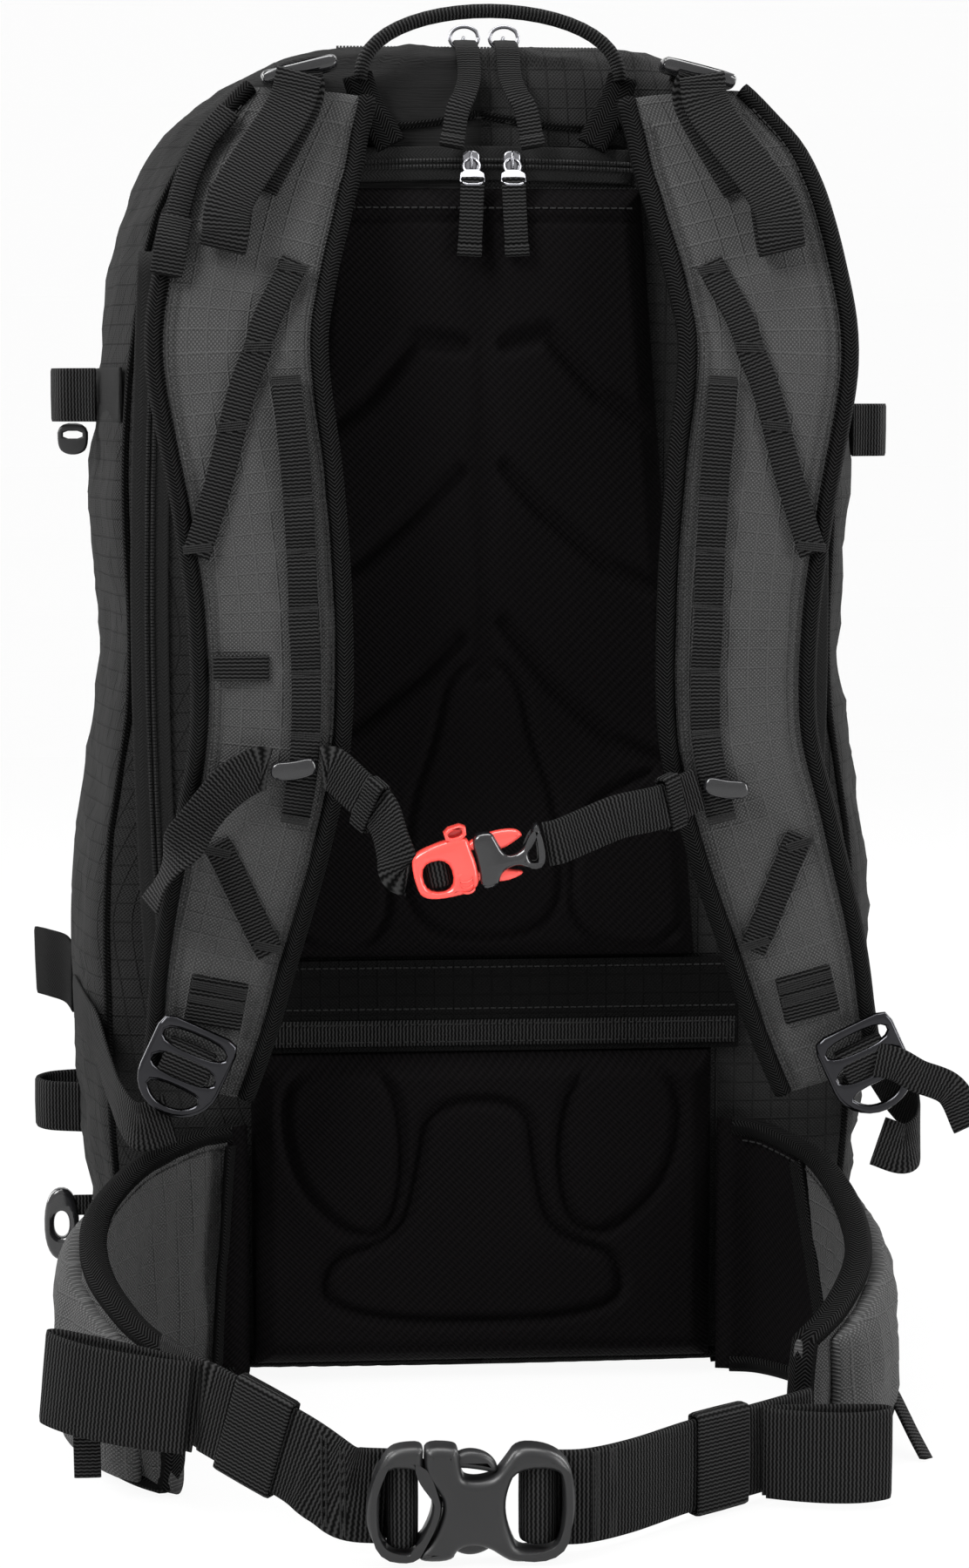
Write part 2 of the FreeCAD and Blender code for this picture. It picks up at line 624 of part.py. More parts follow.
def side_release(size):
    """Buckle halves and latch arms about the mouth's centre; the male pulls out to -x."""
    length, height, thick = size
    rim = height * 0.075
    mouth = -length * 0.16
    left, right = -length / 2, length / 2
    core = thick * 0.28
    cavity_end = length * 0.14
    half = height / 2
    inner = half - rim

    female = centred_box(((mouth + right) / 2, 0, 0), (right - mouth, thick, height))
    female = female.makeFillet(rim, [e for e in female.Edges
                                     if abs(abs(e.tangentAt(0).x) - 1) < 1e-6])
    female = female.cut(box(mouth - 1, cavity_end, -core - GAP, core + GAP, -inner, inner))
    window = (mouth + length * 0.08, cavity_end - 2)
    for sign in (-1, 1):
        near, far = sorted((sign * (inner - 1), sign * (half + 1)))
        female = female.cut(box(*window, -core - GAP, core + GAP, near, far))
    slot = (cavity_end + length * 0.05, right - length * 0.075)
    female = female.cut(box(*slot, -thick, thick, -inner * 0.92, inner * 0.92))

    body_end = mouth - GAP
    male = centred_box(((left + body_end) / 2, 0, 0), (body_end - left, thick, height - 1))
    male = male.makeFillet(rim, [e for e in male.Edges if abs(abs(e.tangentAt(0).x) - 1) < 1e-6])
    male = male.cut(box(left + length * 0.075, body_end - length * 0.075, -thick, thick,
                        -inner * 0.92, inner * 0.92))
    tongue_half = height * 0.09
    male = male.fuse(box(body_end - 2, cavity_end - 3, -core, core, -tongue_half, tongue_half))

    root = arm_root(size)
    arm_in, arm_out = inner * 0.62, inner - GAP
    arms = []
    for sign in (1, -1):
        near, far = sorted((sign * arm_in, sign * arm_out))
        arm = box(root, cavity_end - 2, -core, core, near, far)
        notch = box(root - 2 * GAP, body_end + 1, -core - GAP, core + GAP,
                    near - 3 * GAP, far + GAP)
        male = male.cut(notch)
        waist_near, waist_far = sorted((sign * (inner - rim * 1.1), sign * (inner + 1)))
        waist = box(body_end + 1, body_end + length * 0.09, -core - 1, core + 1,
                    waist_near, waist_far)
        arms.append(arm.cut(waist))
    return female.removeSplitter(), male.removeSplitter(), arms


def place_buckle(name, size, at, tilt, extra=None):
    female, male, arms = side_release(size)
    if extra:
        male = male.fuse(extra(size)).removeSplitter()
    named = ((f"{name}_buckle_female", female), (f"{name}_buckle_male", male),
             (f"{name}_latch_arm_upper", arms[0]), (f"{name}_latch_arm_lower", arms[1]))
    for node, shape in named:
        shape = turned(shape, (0, 0, 0), vec(0, 1, 0), -tilt)
        shape.translate(vec(*at))
        save(node, shape)


def whistle(size):
    """Whistle tube moulded along the top of the sternum male half."""
    length, height, thick = size
    start = -length * 0.30
    end = -length * 0.16 - GAP
    return box(start, end, -thick / 2, thick / 2, height / 2 - 1.5, height / 2 + 4.5)


# ---------------------------------------------------------------- hip belt
def wing_points(side):
    return [vec(side * (LUMBAR_HALF + out) + table(BELT_LEAN, forward), -forward, 0)
            for out, forward, _ in WING_PLAN]


def hip_wings():
    for side, name in ((LEFT, "left"), (RIGHT, "right")):
        sections, widths = [], []
        for point, side_way, normal in frames(wing_points(side), vec(0, 0, 1)):
            share = WING_PLAN[len(widths)][2]
            height = WING_HEIGHT * share
            sections.append((point + vec(0, 0, 1 + height / 2), side_way, normal))
            widths.append(height)
        save(f"hip_wing_{name}", strip_from(sections, widths, WING))


def wing_tip(side):
    """Where webbing lies against the outer face of a wing's tip."""
    (point, _, normal) = frames(wing_points(side), vec(0, 0, 1))[-1]
    if normal.y > 0:
        normal = normal * -1
    return point + normal * (WING / 2 + GAP + WEB_DOUBLE / 2)


def straightened(points, i):
    """The same route, with the run after point i kept flat for a keeper."""
    run = points[i + 1] - points[i]
    return points[:i + 1] + [points[i] + run * 0.15, points[i] + run * 0.85] + points[i + 1:]


def keeper_at(points, i):
    """Middle and direction of the flat run that starts at point i."""
    return (points[i] + points[i + 1]) * 0.5, (points[i + 1] - points[i]).normalize()


def belt_route(side):
    """Belt webbing from the buckle's bar to the wing, as points at its mid height."""
    x, y, z = HIP_BUCKLE_AT
    start = x + side * (HIP_BUCKLE[0] / 2 + GAP)
    tip = wing_tip(side)
    if side == LEFT:
        plan = ((0, 0, 0), (5, 0, 0), (20, 14, 10), (62, 44, 26))
    else:
        plan = ((0, 0, -2), (5, 0, -2), (44, 36, -2), (80, 59, -2))
    points = [vec(start + side * out, y + back, z + up) for out, back, up in plan]
    return straightened(points, 2) + [vec(tip.x, tip.y, points[-1].z + 1)]


KEEPER_LENGTH = 27.0
KEEPER_WALL = 1.6
SMALL_KEEPER = 9.0


def keeper(centre, along, width, length):
    """A flat sleeve round webbing."""
    inner_w, inner_t = width + 2 * GAP, WEB_DOUBLE + 2 * GAP
    outer = centred_box((0, 0, 0), (length, inner_t + 2 * KEEPER_WALL, inner_w + 2 * KEEPER_WALL))
    sleeve = outer.cut(centred_box((0, 0, 0), (length + 2, inner_t, inner_w)))
    if along.x < 0:
        along = along * -1
    angle = math.degrees(math.atan2(along.y, along.x))
    rise = math.degrees(math.atan2(along.z, math.hypot(along.x, along.y)))
    sleeve.rotate(vec(0, 0, 0), vec(0, 1, 0), -rise)
    sleeve.rotate(vec(0, 0, 0), vec(0, 0, 1), angle)
    sleeve.translate(centre)
    return sleeve


def ribbon(points, width, thick):
    """A strip standing on edge through level points."""
    near, far = [], []
    for point, _, normal in frames(points, vec(0, 0, 1)):
        near.append(point + normal * (thick / 2))
        far.append(point - normal * (thick / 2))
    ring = near + far[::-1]
    floor = Part.Face(Part.makePolygon(ring + ring[:1]))
    floor.translate(vec(0, 0, -width / 2))
    return outward(floor.extrude(vec(0, 0, width)))


def belt_loop(side):
    """The webbing's tail, folded back on itself beside the keeper as a slim loop."""
    keeper_end = belt_route(side)[-2]
    length, turn_in, climb = (66.0, 0.50, 6.0) if side == LEFT else (52.0, 0.02, 0.0)
    along = vec(side, turn_in, 0).normalize()
    out = vec(side * along.y, -side * along.x, 0)
    start = keeper_end + out * ((WEB_DOUBLE + WEB) / 2 + 2 * GAP)
    shape = ((0.02, 0.0), (0.5, 1.0), (0.92, 3.0), (1.0, 6.0), (0.95, 9.5), (0.6, 12.0),
             (0.25, 9.0), (0.04, 3.4))
    points = [start + along * (length * share) + out * lift for share, lift in shape]
    return turned(ribbon(points, WEB_WIDE, WEB), start, out, side * climb)


def hip_belt():
    left, right = belt_route(LEFT), belt_route(RIGHT)
    width = [WEB_WIDE] * len(left)
    save("hip_webbing_left", strip_from(frames(left, vec(0, 0, 1)), width, WEB_DOUBLE))
    save("hip_webbing_right", strip_from(frames(right, vec(0, 0, 1)), width, WEB_DOUBLE),
         belt_loop(LEFT), belt_loop(RIGHT))
    return [keeper(*keeper_at(route, 3), WEB_WIDE, KEEPER_LENGTH) for route in (left, right)]


# ---------------------------------------------------------------- sternum strap
CLIP = (20.0, 5.0, 9.0)


def sternum_routes():
    x, y, z = STERNUM_BUCKLE_AT
    tilt = math.radians(STERNUM_TILT)
    axis = vec(math.cos(tilt), 0, math.sin(tilt))
    centre = vec(x, y, z)
    reach = STERNUM_BUCKLE[0] / 2 + GAP
    male_end, female_end = centre - axis * reach, centre + axis * reach
    clear = TRIM_GAP + WEB + GAP + CLIP[1] / 2
    left_clip = on_strap(LEFT, 0.665, 12.0, clear)
    right_clip = on_strap(RIGHT, 0.685, -12.0, clear)
    left = [left_clip + vec(CLIP[0] / 2 + 7 * GAP, 0, 0), left_clip + vec(17, -1, 0),
            left_clip + vec(25, -8, -8), left_clip + vec(39, -22, -19),
            male_end - axis * 6 + vec(0, 0, 1), male_end - axis * 1.0]
    right = [female_end, female_end + axis * 6, female_end + vec(16, 5, 6),
             right_clip + vec(-33, -16, -7), right_clip + vec(-17, -3, -2),
             right_clip - vec(CLIP[0] / 2 + 7 * GAP, 0, 0)]
    return straightened(left, 2), straightened(right, 3), left_clip, right_clip


def sternum_strap():
    left, right, left_clip, right_clip = sternum_routes()
    up = vec(0, 0, 1)
    for name, route in (("left", left), ("right", right)):
        webbing = strip_from(frames(route, up), [WEB_NARROW] * len(route), WEB_DOUBLE)
        save(f"sternum_webbing_{name}", webbing)
    tail = [left_clip + vec(-CLIP[0] / 2 - 2 * GAP, -1, 0), left_clip + vec(-16, -1.5, 0),
            left_clip + vec(-30, -3, -10), left_clip + vec(-46, -5, -30),
            left_clip + vec(-62, -3, -58)]
    save("sternum_tail", strip_from(frames(tail, vec(0.5, 0, 1)), [WEB_NARROW] * 5, WEB))
    save("sternum_clips", *(rounded_box(tuple(p), CLIP, 1.5) for p in (left_clip, right_clip)))
    return [keeper(*keeper_at(left, 3), WEB_NARROW, SMALL_KEEPER),
            keeper(*keeper_at(right, 4), WEB_NARROW, SMALL_KEEPER)]


# ---------------------------------------------------------------- zips
COIL = 1.6
ZIP_WIDTH = 8.0
SLIDER = (8.0, 3.4, 11.0)
TOP_ZIP_Y = 50.0
TOP_ZIP_HALF = 62.0
BACK_ZIP_RISE = 11.0      # back zip above the moulded panel
BACK_ZIP_Z = FOAM_TOP + BACK_ZIP_RISE
BACK_ZIP_HALF = 66.0
SLIDER_X = 9.0            # half spacing of a closed pair of sliders
PULL = 1.8
PULL_WIDTH = 11.0
SPLAY = 9.0               # how far the hanging ends of the top pulls spread
BACK_PULL = 40.0


def zip_coils():
    top = box(-TOP_ZIP_HALF, TOP_ZIP_HALF, TOP_ZIP_Y - ZIP_WIDTH / 2, TOP_ZIP_Y + ZIP_WIDTH / 2,
              HEIGHT, HEIGHT + COIL)
    back = box(-BACK_ZIP_HALF, BACK_ZIP_HALF, -COIL, 0, BACK_ZIP_Z - ZIP_WIDTH / 2,
               BACK_ZIP_Z + ZIP_WIDTH / 2)
    return top, back


def zip_slider(name, centre, size):
    """A slider body with the bridge that its pull hangs from."""
    save(name, rounded_box(centre, size, 1.0))


def sliders():
    for side, name in ((LEFT, "left"), (RIGHT, "right")):
        x = side * SLIDER_X + 4
        z = HEIGHT + COIL + GAP + SLIDER[1] / 2
        zip_slider(f"top_slider_{name}", (x, TOP_ZIP_Y, z), (SLIDER[0], SLIDER[2], SLIDER[1]))
        tab = top_pull(side, x, z)
        save(f"top_pull_{name}", tab)
        y = -COIL - GAP - SLIDER[1] / 2
        zip_slider(f"back_slider_{name}", (x, y, BACK_ZIP_Z), SLIDER)
        front = -FOAM - GAP - PULL / 2
        low = BACK_ZIP_Z - SLIDER[2] / 2
        path = [(x, y - SLIDER[1] / 2 - GAP - PULL / 2, low + 3), (x, front - 1, low - 2),
                (x + side * 1.5, front - 1.5, low - BACK_PULL + 4)]
        save(f"back_pull_{name}", strip(path, vec(1, 0, 0), PULL_WIDTH, PULL))


def top_pull(side, x, z):
    """Webbing tab that hangs from a top slider over the back edge of the crown."""
    y = TOP_ZIP_Y - SLIDER[2] / 2 - GAP
    lift = PULL / 2 + 4 * GAP
    rim = LEVELS[-1][2]
    path = [(x, y, z), (x, rim - 2, HEIGHT + lift + 1)]
    for share in (0.992, 0.970):
        row = next(level for level in LEVELS if level[0] == share)
        path.append((x, row[2] - lift - 2, HEIGHT * share + lift))
    path.append((x + side * SPLAY * 0.6, -5.0, SHOULDER_Z - 4))
    path.append((x + side * SPLAY, -9.0, SHOULDER_Z - 22))
    return strip(path, vec(1, 0, 0), PULL_WIDTH, PULL)


# ---------------------------------------------------------------- handle and side gear
HANDLE_HALF = 57.0
HANDLE_RISE = 30.0
HANDLE_DROP = 17.0        # crown to the feet of the grab handle
HANDLE_FOOT_Z = HEIGHT - HANDLE_DROP
HANDLE_THICK = 5.0
HANDLE_DEEP = 12.0


def grab_handle():
    points = []
    foot_y = back_y(0, HANDLE_FOOT_Z) - HANDLE_DEEP / 2 - 2
    for i in range(9):
        angle = math.pi * i / 8
        points.append(vec(4 - HANDLE_HALF * math.cos(angle), foot_y,
                          HANDLE_FOOT_Z + HANDLE_RISE * math.sin(angle)))
    sections = frames(points, vec(0, 1, 0))
    save("grab_handle", strip_from(sections, [HANDLE_DEEP] * 9, HANDLE_THICK))


SIDE_STRAP_Z = {LEFT: 446.0, RIGHT: 430.0}    # compression webbing


def side_strap(side, z, width, reach):
    """Compression webbing round the side of the bag, and the loop of its tail."""
    hug = [(side_x(side, y, z) + side * SIDE_CLEAR, y, z) for y in range(6, 112, 10)]
    x = hug[4][0] + side * (WEB + GAP + 0.3)
    loop = [(hug[4][0] + side * (WEB + GAP + 0.3), 42, z), (x + side * reach * 0.7, 48, z),
            (x + side * reach, 60, z), (x + side * reach * 0.85, 74, z),
            (hug[8][0] + side * (WEB + GAP + 0.3), 82, z)]
    up = side_lean(side, 60, z)
    return strip(hug, up, width, WEB), strip(loop, up, width, WEB)


def side_gear():
    solids = []
    for side, reach in ((LEFT, 20), (RIGHT, 18)):
        solids += side_strap(side, SIDE_STRAP_Z[side], WEB_MID, reach)
    x = side_reach(LEFT, (70, 90, 110), (150, 172, 190)) - GAP - 1.3
    tab = [(x, 72, 172), (x - 4, 90, 174), (x - 14, 104, 174), (x - 20, 124, 172)]
    solids.append(strip(tab, vec(0, 0, 1), 34.0, 2.5))
    x = side_reach(LEFT, (84, 96, 108), (95, 108, 121)) - GAP - 0.8
    loop = [(x, 80, 108), (x - 16, 86, 108), (x - 21, 96, 108), (x - 16, 106, 108),
            (x, 112, 108)]
    solids.append(strip(loop, vec(0, 0, 1), WEB_MID, WEB_DOUBLE))
    solids.append(box(toggle_x() + TOGGLE[0] / 2 + GAP, side_reach(LEFT, (88, 96), (54, 62)) - GAP,
                      TOGGLE_Y - 1, TOGGLE_Y + 1, TOGGLE_Z + 4, TOGGLE_Z + 14))
    save("side_webbing", *solids)


HOOK_AT_Z = SIDE_STRAP_Z[LEFT] - WEB_MID / 2


def side_hook():
    x = side_x(LEFT, 60, HOOK_AT_Z) - 12
    plate_part = box(x - 7, x + 7, 57, 60, HOOK_AT_Z - 15, HOOK_AT_Z - GAP)
    tooth = box(x - 7, x + 7, 60, 66, HOOK_AT_Z - 15, HOOK_AT_Z - 11)
    save("side_hook", plate_part.fuse(tooth).removeSplitter())


TOGGLE = (17.0, 7.0, 36.0)
TOGGLE_Y = 92.0
TOGGLE_Z = 48.0
TOGGLE_REACH = 10.0       # length of the tab that the toggle hangs on


def toggle_x():
    return side_reach(LEFT, (88, 96), (54, 62)) - TOGGLE_REACH - TOGGLE[0] / 2


def cord_toggle():
    save("cord_toggle", rounded_box((toggle_x(), TOGGLE_Y, TOGGLE_Z), TOGGLE, 3.3))


def pocket_zip():
    """Hip pocket slider on the outside of the right-hand wing, and its webbing pull."""
    (point, _, normal) = frames(wing_points(RIGHT), vec(0, 0, 1))[4]
    if normal.x < 0:
        normal = normal * -1
    at = point + normal * (WING / 2 + GAP + 2) + vec(0, 0, 34)
    save("hip_pocket_slider", rounded_box(tuple(at), (4.0, 11.0, 8.0), 1.0))
    low = at + normal * 4 + vec(0, 0, -6)
    path = [low, low + vec(5, -10, -12), low + vec(10, -22, -25)]
    save("hip_pocket_pull", strip_from(frames(path, vec(0.5, 1, 0)), [PULL_WIDTH] * 3, PULL))


def main():
    os.makedirs("parts", exist_ok=True)
    cable_hole = tube(CABLE_ROUTE, CABLE_R + GAP)
    bag_panels(cable_hole)
    back_wall(cable_hole)
    back_foam()
    lumbar_pad()
    frame()
    airbag_shelf(cable_hole)
    airbag(cable_hole)
    inflator()
    valve_lever()
    gas_cartridge()
    gauge_needle()
    shoulder_straps(cable_hole)
    trigger()
    strap_trims()
    lifters()
    lifter_buckles()
    adjusters()
    strap_webbing()
    place_buckle("hip", HIP_BUCKLE, HIP_BUCKLE_AT, 0)
    place_buckle("sternum", STERNUM_BUCKLE, STERNUM_BUCKLE_AT, STERNUM_TILT, whistle)
    hip_wings()
    save("webbing_keepers", *(hip_belt() + sternum_strap()))
    save("zip_coils", *zip_coils())
    sliders()
    pocket_zip()
    grab_handle()
    side_gear()
    side_hook()
    cord_toggle()


main()
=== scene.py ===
# %% [markdown]
# # An avalanche airbag backpack, seen from its harness side
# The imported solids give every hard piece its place, so the scene starts by loading
# them. What is soft on the real pack (bag cloth, foam, straps, belt) is then built
# again as cloth and foam, each new piece standing for the plain solid under it.

# %% Load the frame
import math

import bmesh
import bpy
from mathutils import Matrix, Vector, noise
from mathutils.bvhtree import BVHTree


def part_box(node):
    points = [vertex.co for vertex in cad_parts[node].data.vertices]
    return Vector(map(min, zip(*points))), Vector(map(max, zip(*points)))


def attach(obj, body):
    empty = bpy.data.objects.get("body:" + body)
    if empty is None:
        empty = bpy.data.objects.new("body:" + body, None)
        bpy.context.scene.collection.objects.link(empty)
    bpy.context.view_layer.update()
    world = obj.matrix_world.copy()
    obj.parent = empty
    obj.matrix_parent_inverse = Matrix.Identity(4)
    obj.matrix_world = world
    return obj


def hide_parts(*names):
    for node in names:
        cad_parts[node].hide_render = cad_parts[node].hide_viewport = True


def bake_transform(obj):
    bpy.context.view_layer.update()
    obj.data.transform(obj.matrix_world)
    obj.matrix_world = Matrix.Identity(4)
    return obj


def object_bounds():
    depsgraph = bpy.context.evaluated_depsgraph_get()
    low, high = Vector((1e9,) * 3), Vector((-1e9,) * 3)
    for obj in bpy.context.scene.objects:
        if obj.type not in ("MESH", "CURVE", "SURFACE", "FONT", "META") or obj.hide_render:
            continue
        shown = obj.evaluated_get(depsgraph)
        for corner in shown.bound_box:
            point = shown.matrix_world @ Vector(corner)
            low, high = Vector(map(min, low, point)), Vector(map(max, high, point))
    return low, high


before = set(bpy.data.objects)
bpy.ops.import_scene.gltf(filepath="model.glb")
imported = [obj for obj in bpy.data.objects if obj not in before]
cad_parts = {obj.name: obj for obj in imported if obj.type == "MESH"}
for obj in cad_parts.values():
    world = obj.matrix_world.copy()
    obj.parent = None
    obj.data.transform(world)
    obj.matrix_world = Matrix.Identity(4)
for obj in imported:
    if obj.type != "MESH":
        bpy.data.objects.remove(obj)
cad_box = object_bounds()
MM = 0.001
PACK = "pack"
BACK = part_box("back_wall")[0].y + 4 * MM      # the plane of the back wall
LOW, HIGH = cad_box
SIDES = ((-1, "left"), (1, "right"))
print("nodes", len(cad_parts), "size", [round(v, 3) for v in HIGH - LOW])


def link(name, data):
    """A new object at the origin that shows some data."""
    obj = bpy.data.objects.new(name, data)
    bpy.context.collection.objects.link(obj)
    return obj

# %% [markdown]
# ## Camera, floor and light
# The pack stands on the floor and is looked at from a little above its shoulders.
# A long lens from about a metre and a half keeps the two straps almost parallel.
# A pale floor runs up into a pale background, and large soft lamps on both sides
# give black cloth something to shine with.

# %% Camera
eye = Vector((-0.096, -1.478, 0.4422))
YAW, PITCH = math.radians(4.0), math.radians(6.97)
look = Vector((math.sin(YAW) * math.cos(PITCH), math.cos(YAW) * math.cos(PITCH),
               -math.sin(PITCH)))
camera = link("camera", bpy.data.cameras.new("camera"))
camera.location = eye
camera.rotation_mode = "QUATERNION"
camera.rotation_quaternion = look.to_track_quat("-Z", "Y")
camera.data.sensor_width = 36.0
camera.data.lens = 71.49
bpy.context.scene.camera = camera
bpy.context.scene.view_settings.view_transform = "Standard"
print("camera", tuple(round(v, 3) for v in eye))


# %% Small helpers for shader nodes
class Nodes:
    """A node tree with short ways to add and join nodes."""

    def __init__(self, tree):
        self.tree = tree

    def add(self, kind, **values):
        node = self.tree.nodes.new(kind)
        for key, value in values.items():
            setattr(node, key, value)
        return node

    def join(self, out, into):
        self.tree.links.new(out, into)

    def math(self, operation, a, b=None):
        node = self.add("ShaderNodeMath", operation=operation)
        for socket, value in zip(node.inputs, (a, b)):
            self.feed(socket, value)
        return node.outputs[0]

    def feed(self, socket, value):
        if value is None:
            return
        if isinstance(value, bpy.types.NodeSocket):
            self.join(value, socket)
        else:
            socket.default_value = value

    def mix(self, factor, a, b):
        node = self.add("ShaderNodeMix", data_type="RGBA")
        self.feed(node.inputs["Factor"], factor)
        self.feed(node.inputs[6], a)
        self.feed(node.inputs[7], b)
        return node.outputs[2]

    def ramp(self, value, low, high, to_low=0.0, to_high=1.0):
        node = self.add("ShaderNodeMapRange")
        for i, v in enumerate((value, low, high, to_low, to_high)):
            self.feed(node.inputs[i], v)
        return node.outputs[0]


def grey(value, tint=(1.0, 1.0, 1.0)):
    return (value * tint[0], value * tint[1], value * tint[2], 1.0)


def blank_material(name):
    """A new material with an empty node tree."""
    material = bpy.data.materials.new(name)
    material.use_nodes = True
    n = Nodes(material.node_tree)
    n.tree.nodes.clear()
    return material, n


print("node helpers ready")


# %% Floor and background
def floor_material():
    material, n = blank_material("pale_floor")
    paper = n.add("ShaderNodeBsdfDiffuse")
    paper.inputs["Color"].default_value = grey(0.86)
    glow = n.add("ShaderNodeEmission")
    glow.inputs["Color"].default_value = grey(1.0)
    path = n.add("ShaderNodeLightPath")
    seen = n.math("MAXIMUM", path.outputs["Is Camera Ray"], path.outputs["Is Glossy Ray"])
    seen = n.math("MAXIMUM", seen, path.outputs["Is Transmission Ray"])
    mixed = n.add("ShaderNodeMixShader")
    n.join(n.math("MULTIPLY", seen, 0.93), mixed.inputs[0])
    n.join(paper.outputs[0], mixed.inputs[1])
    n.join(glow.outputs[0], mixed.inputs[2])
    n.join(mixed.outputs[0], n.add("ShaderNodeOutputMaterial").inputs[0])
    return material


def backdrop():
    """A floor that curves up behind the pack."""
    mesh = bmesh.new()
    profile = [(-4.0, 0.0), (2.2, 0.0)]
    profile += [(2.2 + 1.2 * math.sin(a), 1.2 - 1.2 * math.cos(a))
                for a in (math.pi / 2 * i / 12 for i in range(1, 13))]
    profile.append((3.4, 5.0))
    rows = [[mesh.verts.new((x, y, z)) for x in (-6.0, 6.0)] for y, z in profile]
    for (a, b), (c, d) in zip(rows, rows[1:]):
        mesh.faces.new((a, b, d, c))
    data = bpy.data.meshes.new("backdrop")
    mesh.to_mesh(data)
    data.materials.append(floor_material())
    return link("backdrop", data)


backdrop()

# %% World: white to look at, soft grey as a light
world = bpy.data.worlds.new("studio")
bpy.context.scene.world = world
world.use_nodes = True
w = Nodes(world.node_tree)
w.tree.nodes.clear()
shell_light, white = w.add("ShaderNodeBackground"), w.add("ShaderNodeBackground")
SOFT_LIGHT = 0.16
shell_light.inputs["Strength"].default_value = SOFT_LIGHT
white.inputs["Strength"].default_value = 1.0
path = w.add("ShaderNodeLightPath")
both = w.add("ShaderNodeMixShader")
seen = w.math("MAXIMUM", path.outputs["Is Camera Ray"], path.outputs["Is Transmission Ray"])
seen = w.math("MAXIMUM", seen, path.outputs["Is Glossy Ray"])
w.join(seen, both.inputs[0])
w.join(shell_light.outputs[0], both.inputs[1])
w.join(white.outputs[0], both.inputs[2])
w.join(both.outputs[0], w.add("ShaderNodeOutputWorld").inputs[0])
print("world light", SOFT_LIGHT)


# %% Lamps
AIM = Vector((0.0, 0.0, 0.30))


def lamp(name, place, size, power):
    """A soft oblong lamp, turned to the middle of the pack."""
    data = bpy.data.lights.new(name, "AREA")
    data.shape, data.size, data.size_y, data.energy = "RECTANGLE", size[0], size[1], power
    obj = link(name, data)
    obj.location = place
    obj.rotation_mode = "QUATERNION"
    obj.rotation_quaternion = (AIM - obj.location).to_track_quat("-Z", "Y")
    return obj


lamp("key", (-1.5, -1.2, 1.9), (0.9, 1.3), 62.0)
lamp("fill", (1.9, -1.2, 0.9), (0.8, 1.6), 34.0)
lamp("top", (0.0, -0.1, 2.2), (1.8, 1.0), 40.0)
lamp("rim_left", (-1.5, 0.7, 0.9), (0.5, 1.6), 26.0)
lamp("rim_right", (1.5, 0.7, 0.9), (0.5, 1.6), 26.0)

# %% [markdown]
# ## Finishes
# Nearly everything on this pack is black, so the finishes differ by weave, not by
# colour. Each weave is one shader node group that puts out a height and a mask, and
# the materials feed those into a bump and a small change of colour. Patterns follow
# a piece's own UV map, which is laid out in metres, or its object coordinates.


# %% Weave groups
def group(name, inputs, outputs):
    """A new shader group, with short ways to its tree, inputs and outputs."""
    tree = bpy.data.node_groups.new(name, "ShaderNodeTree")
    for label, kind, value in inputs:
        socket = tree.interface.new_socket(label, in_out="INPUT", socket_type=kind)
        if value is not None:
            socket.default_value = value
    for label in outputs:
        tree.interface.new_socket(label, in_out="OUTPUT", socket_type="NodeSocketFloat")
    n = Nodes(tree)
    return tree, n, n.add("NodeGroupInput").outputs, n.add("NodeGroupOutput").inputs


def split_place(n, given):
    """The x and y of the place that a pattern is asked for."""
    place = n.add("ShaderNodeSeparateXYZ")
    n.join(given["Place"], place.inputs[0])
    return place.outputs[0], place.outputs[1]


def wave(n, value, period, halves=2):
    """A sine of value, with so many half waves in each period."""
    return n.math("SINE", n.math("MULTIPLY", n.math("DIVIDE", value, period), halves * math.pi))


def give_both(n, mask, out):
    """One value for both the height and the mask."""
    n.join(mask, out["Height"])
    n.join(mask, out["Mask"])


PLACE = ("Place", "NodeSocketVector", None)
SIZE = "NodeSocketFloat"
FINE_THREAD = 0.0017


def ripstop_group():
    """Plain weave with a square grid of doubled threads."""
    tree, n, given, out = group("ripstop_weave", [PLACE, ("Spacing", SIZE, 0.0075)],
                                ["Height", "Mask"])
    lines, threads = [], []
    for along in split_place(n, given):
        step = n.math("DIVIDE", along, given["Spacing"])
        near = n.math("ABSOLUTE", n.math("SUBTRACT", n.math("FRACT", step), 0.5))
        lines.append(n.ramp(near, 0.07, 0.025))
        threads.append(n.math("SINE", n.math("MULTIPLY", along, 2 * math.pi / FINE_THREAD)))
    grid = n.math("MAXIMUM", *lines)
    weave = n.math("MULTIPLY", *threads)
    n.join(n.math("ADD", n.math("MULTIPLY", weave, 0.35), grid), out["Height"])
    n.join(n.math("MAXIMUM", n.math("MULTIPLY", grid, 0.45), n.ramp(weave, 0.0, 0.7)),
           out["Mask"])
    return tree


def herringbone_group():
    """Diagonal ribs whose slant flips in every stripe, as on binding tape."""
    tree, n, given, out = group("herringbone", [PLACE, ("Stripe", SIZE, 0.008),
                                                ("Rib", SIZE, 0.0016)], ["Height", "Mask"])
    x, y = split_place(n, given)
    across = n.math("FRACT", n.math("DIVIDE", x, given["Stripe"]))
    slant = n.math("ABSOLUTE", n.math("SUBTRACT", across, 0.5))
    climb = n.math("ADD", n.math("MULTIPLY", slant, given["Stripe"]), y)
    give_both(n, n.ramp(wave(n, climb, given["Rib"]), -0.4, 0.7), out)
    return tree


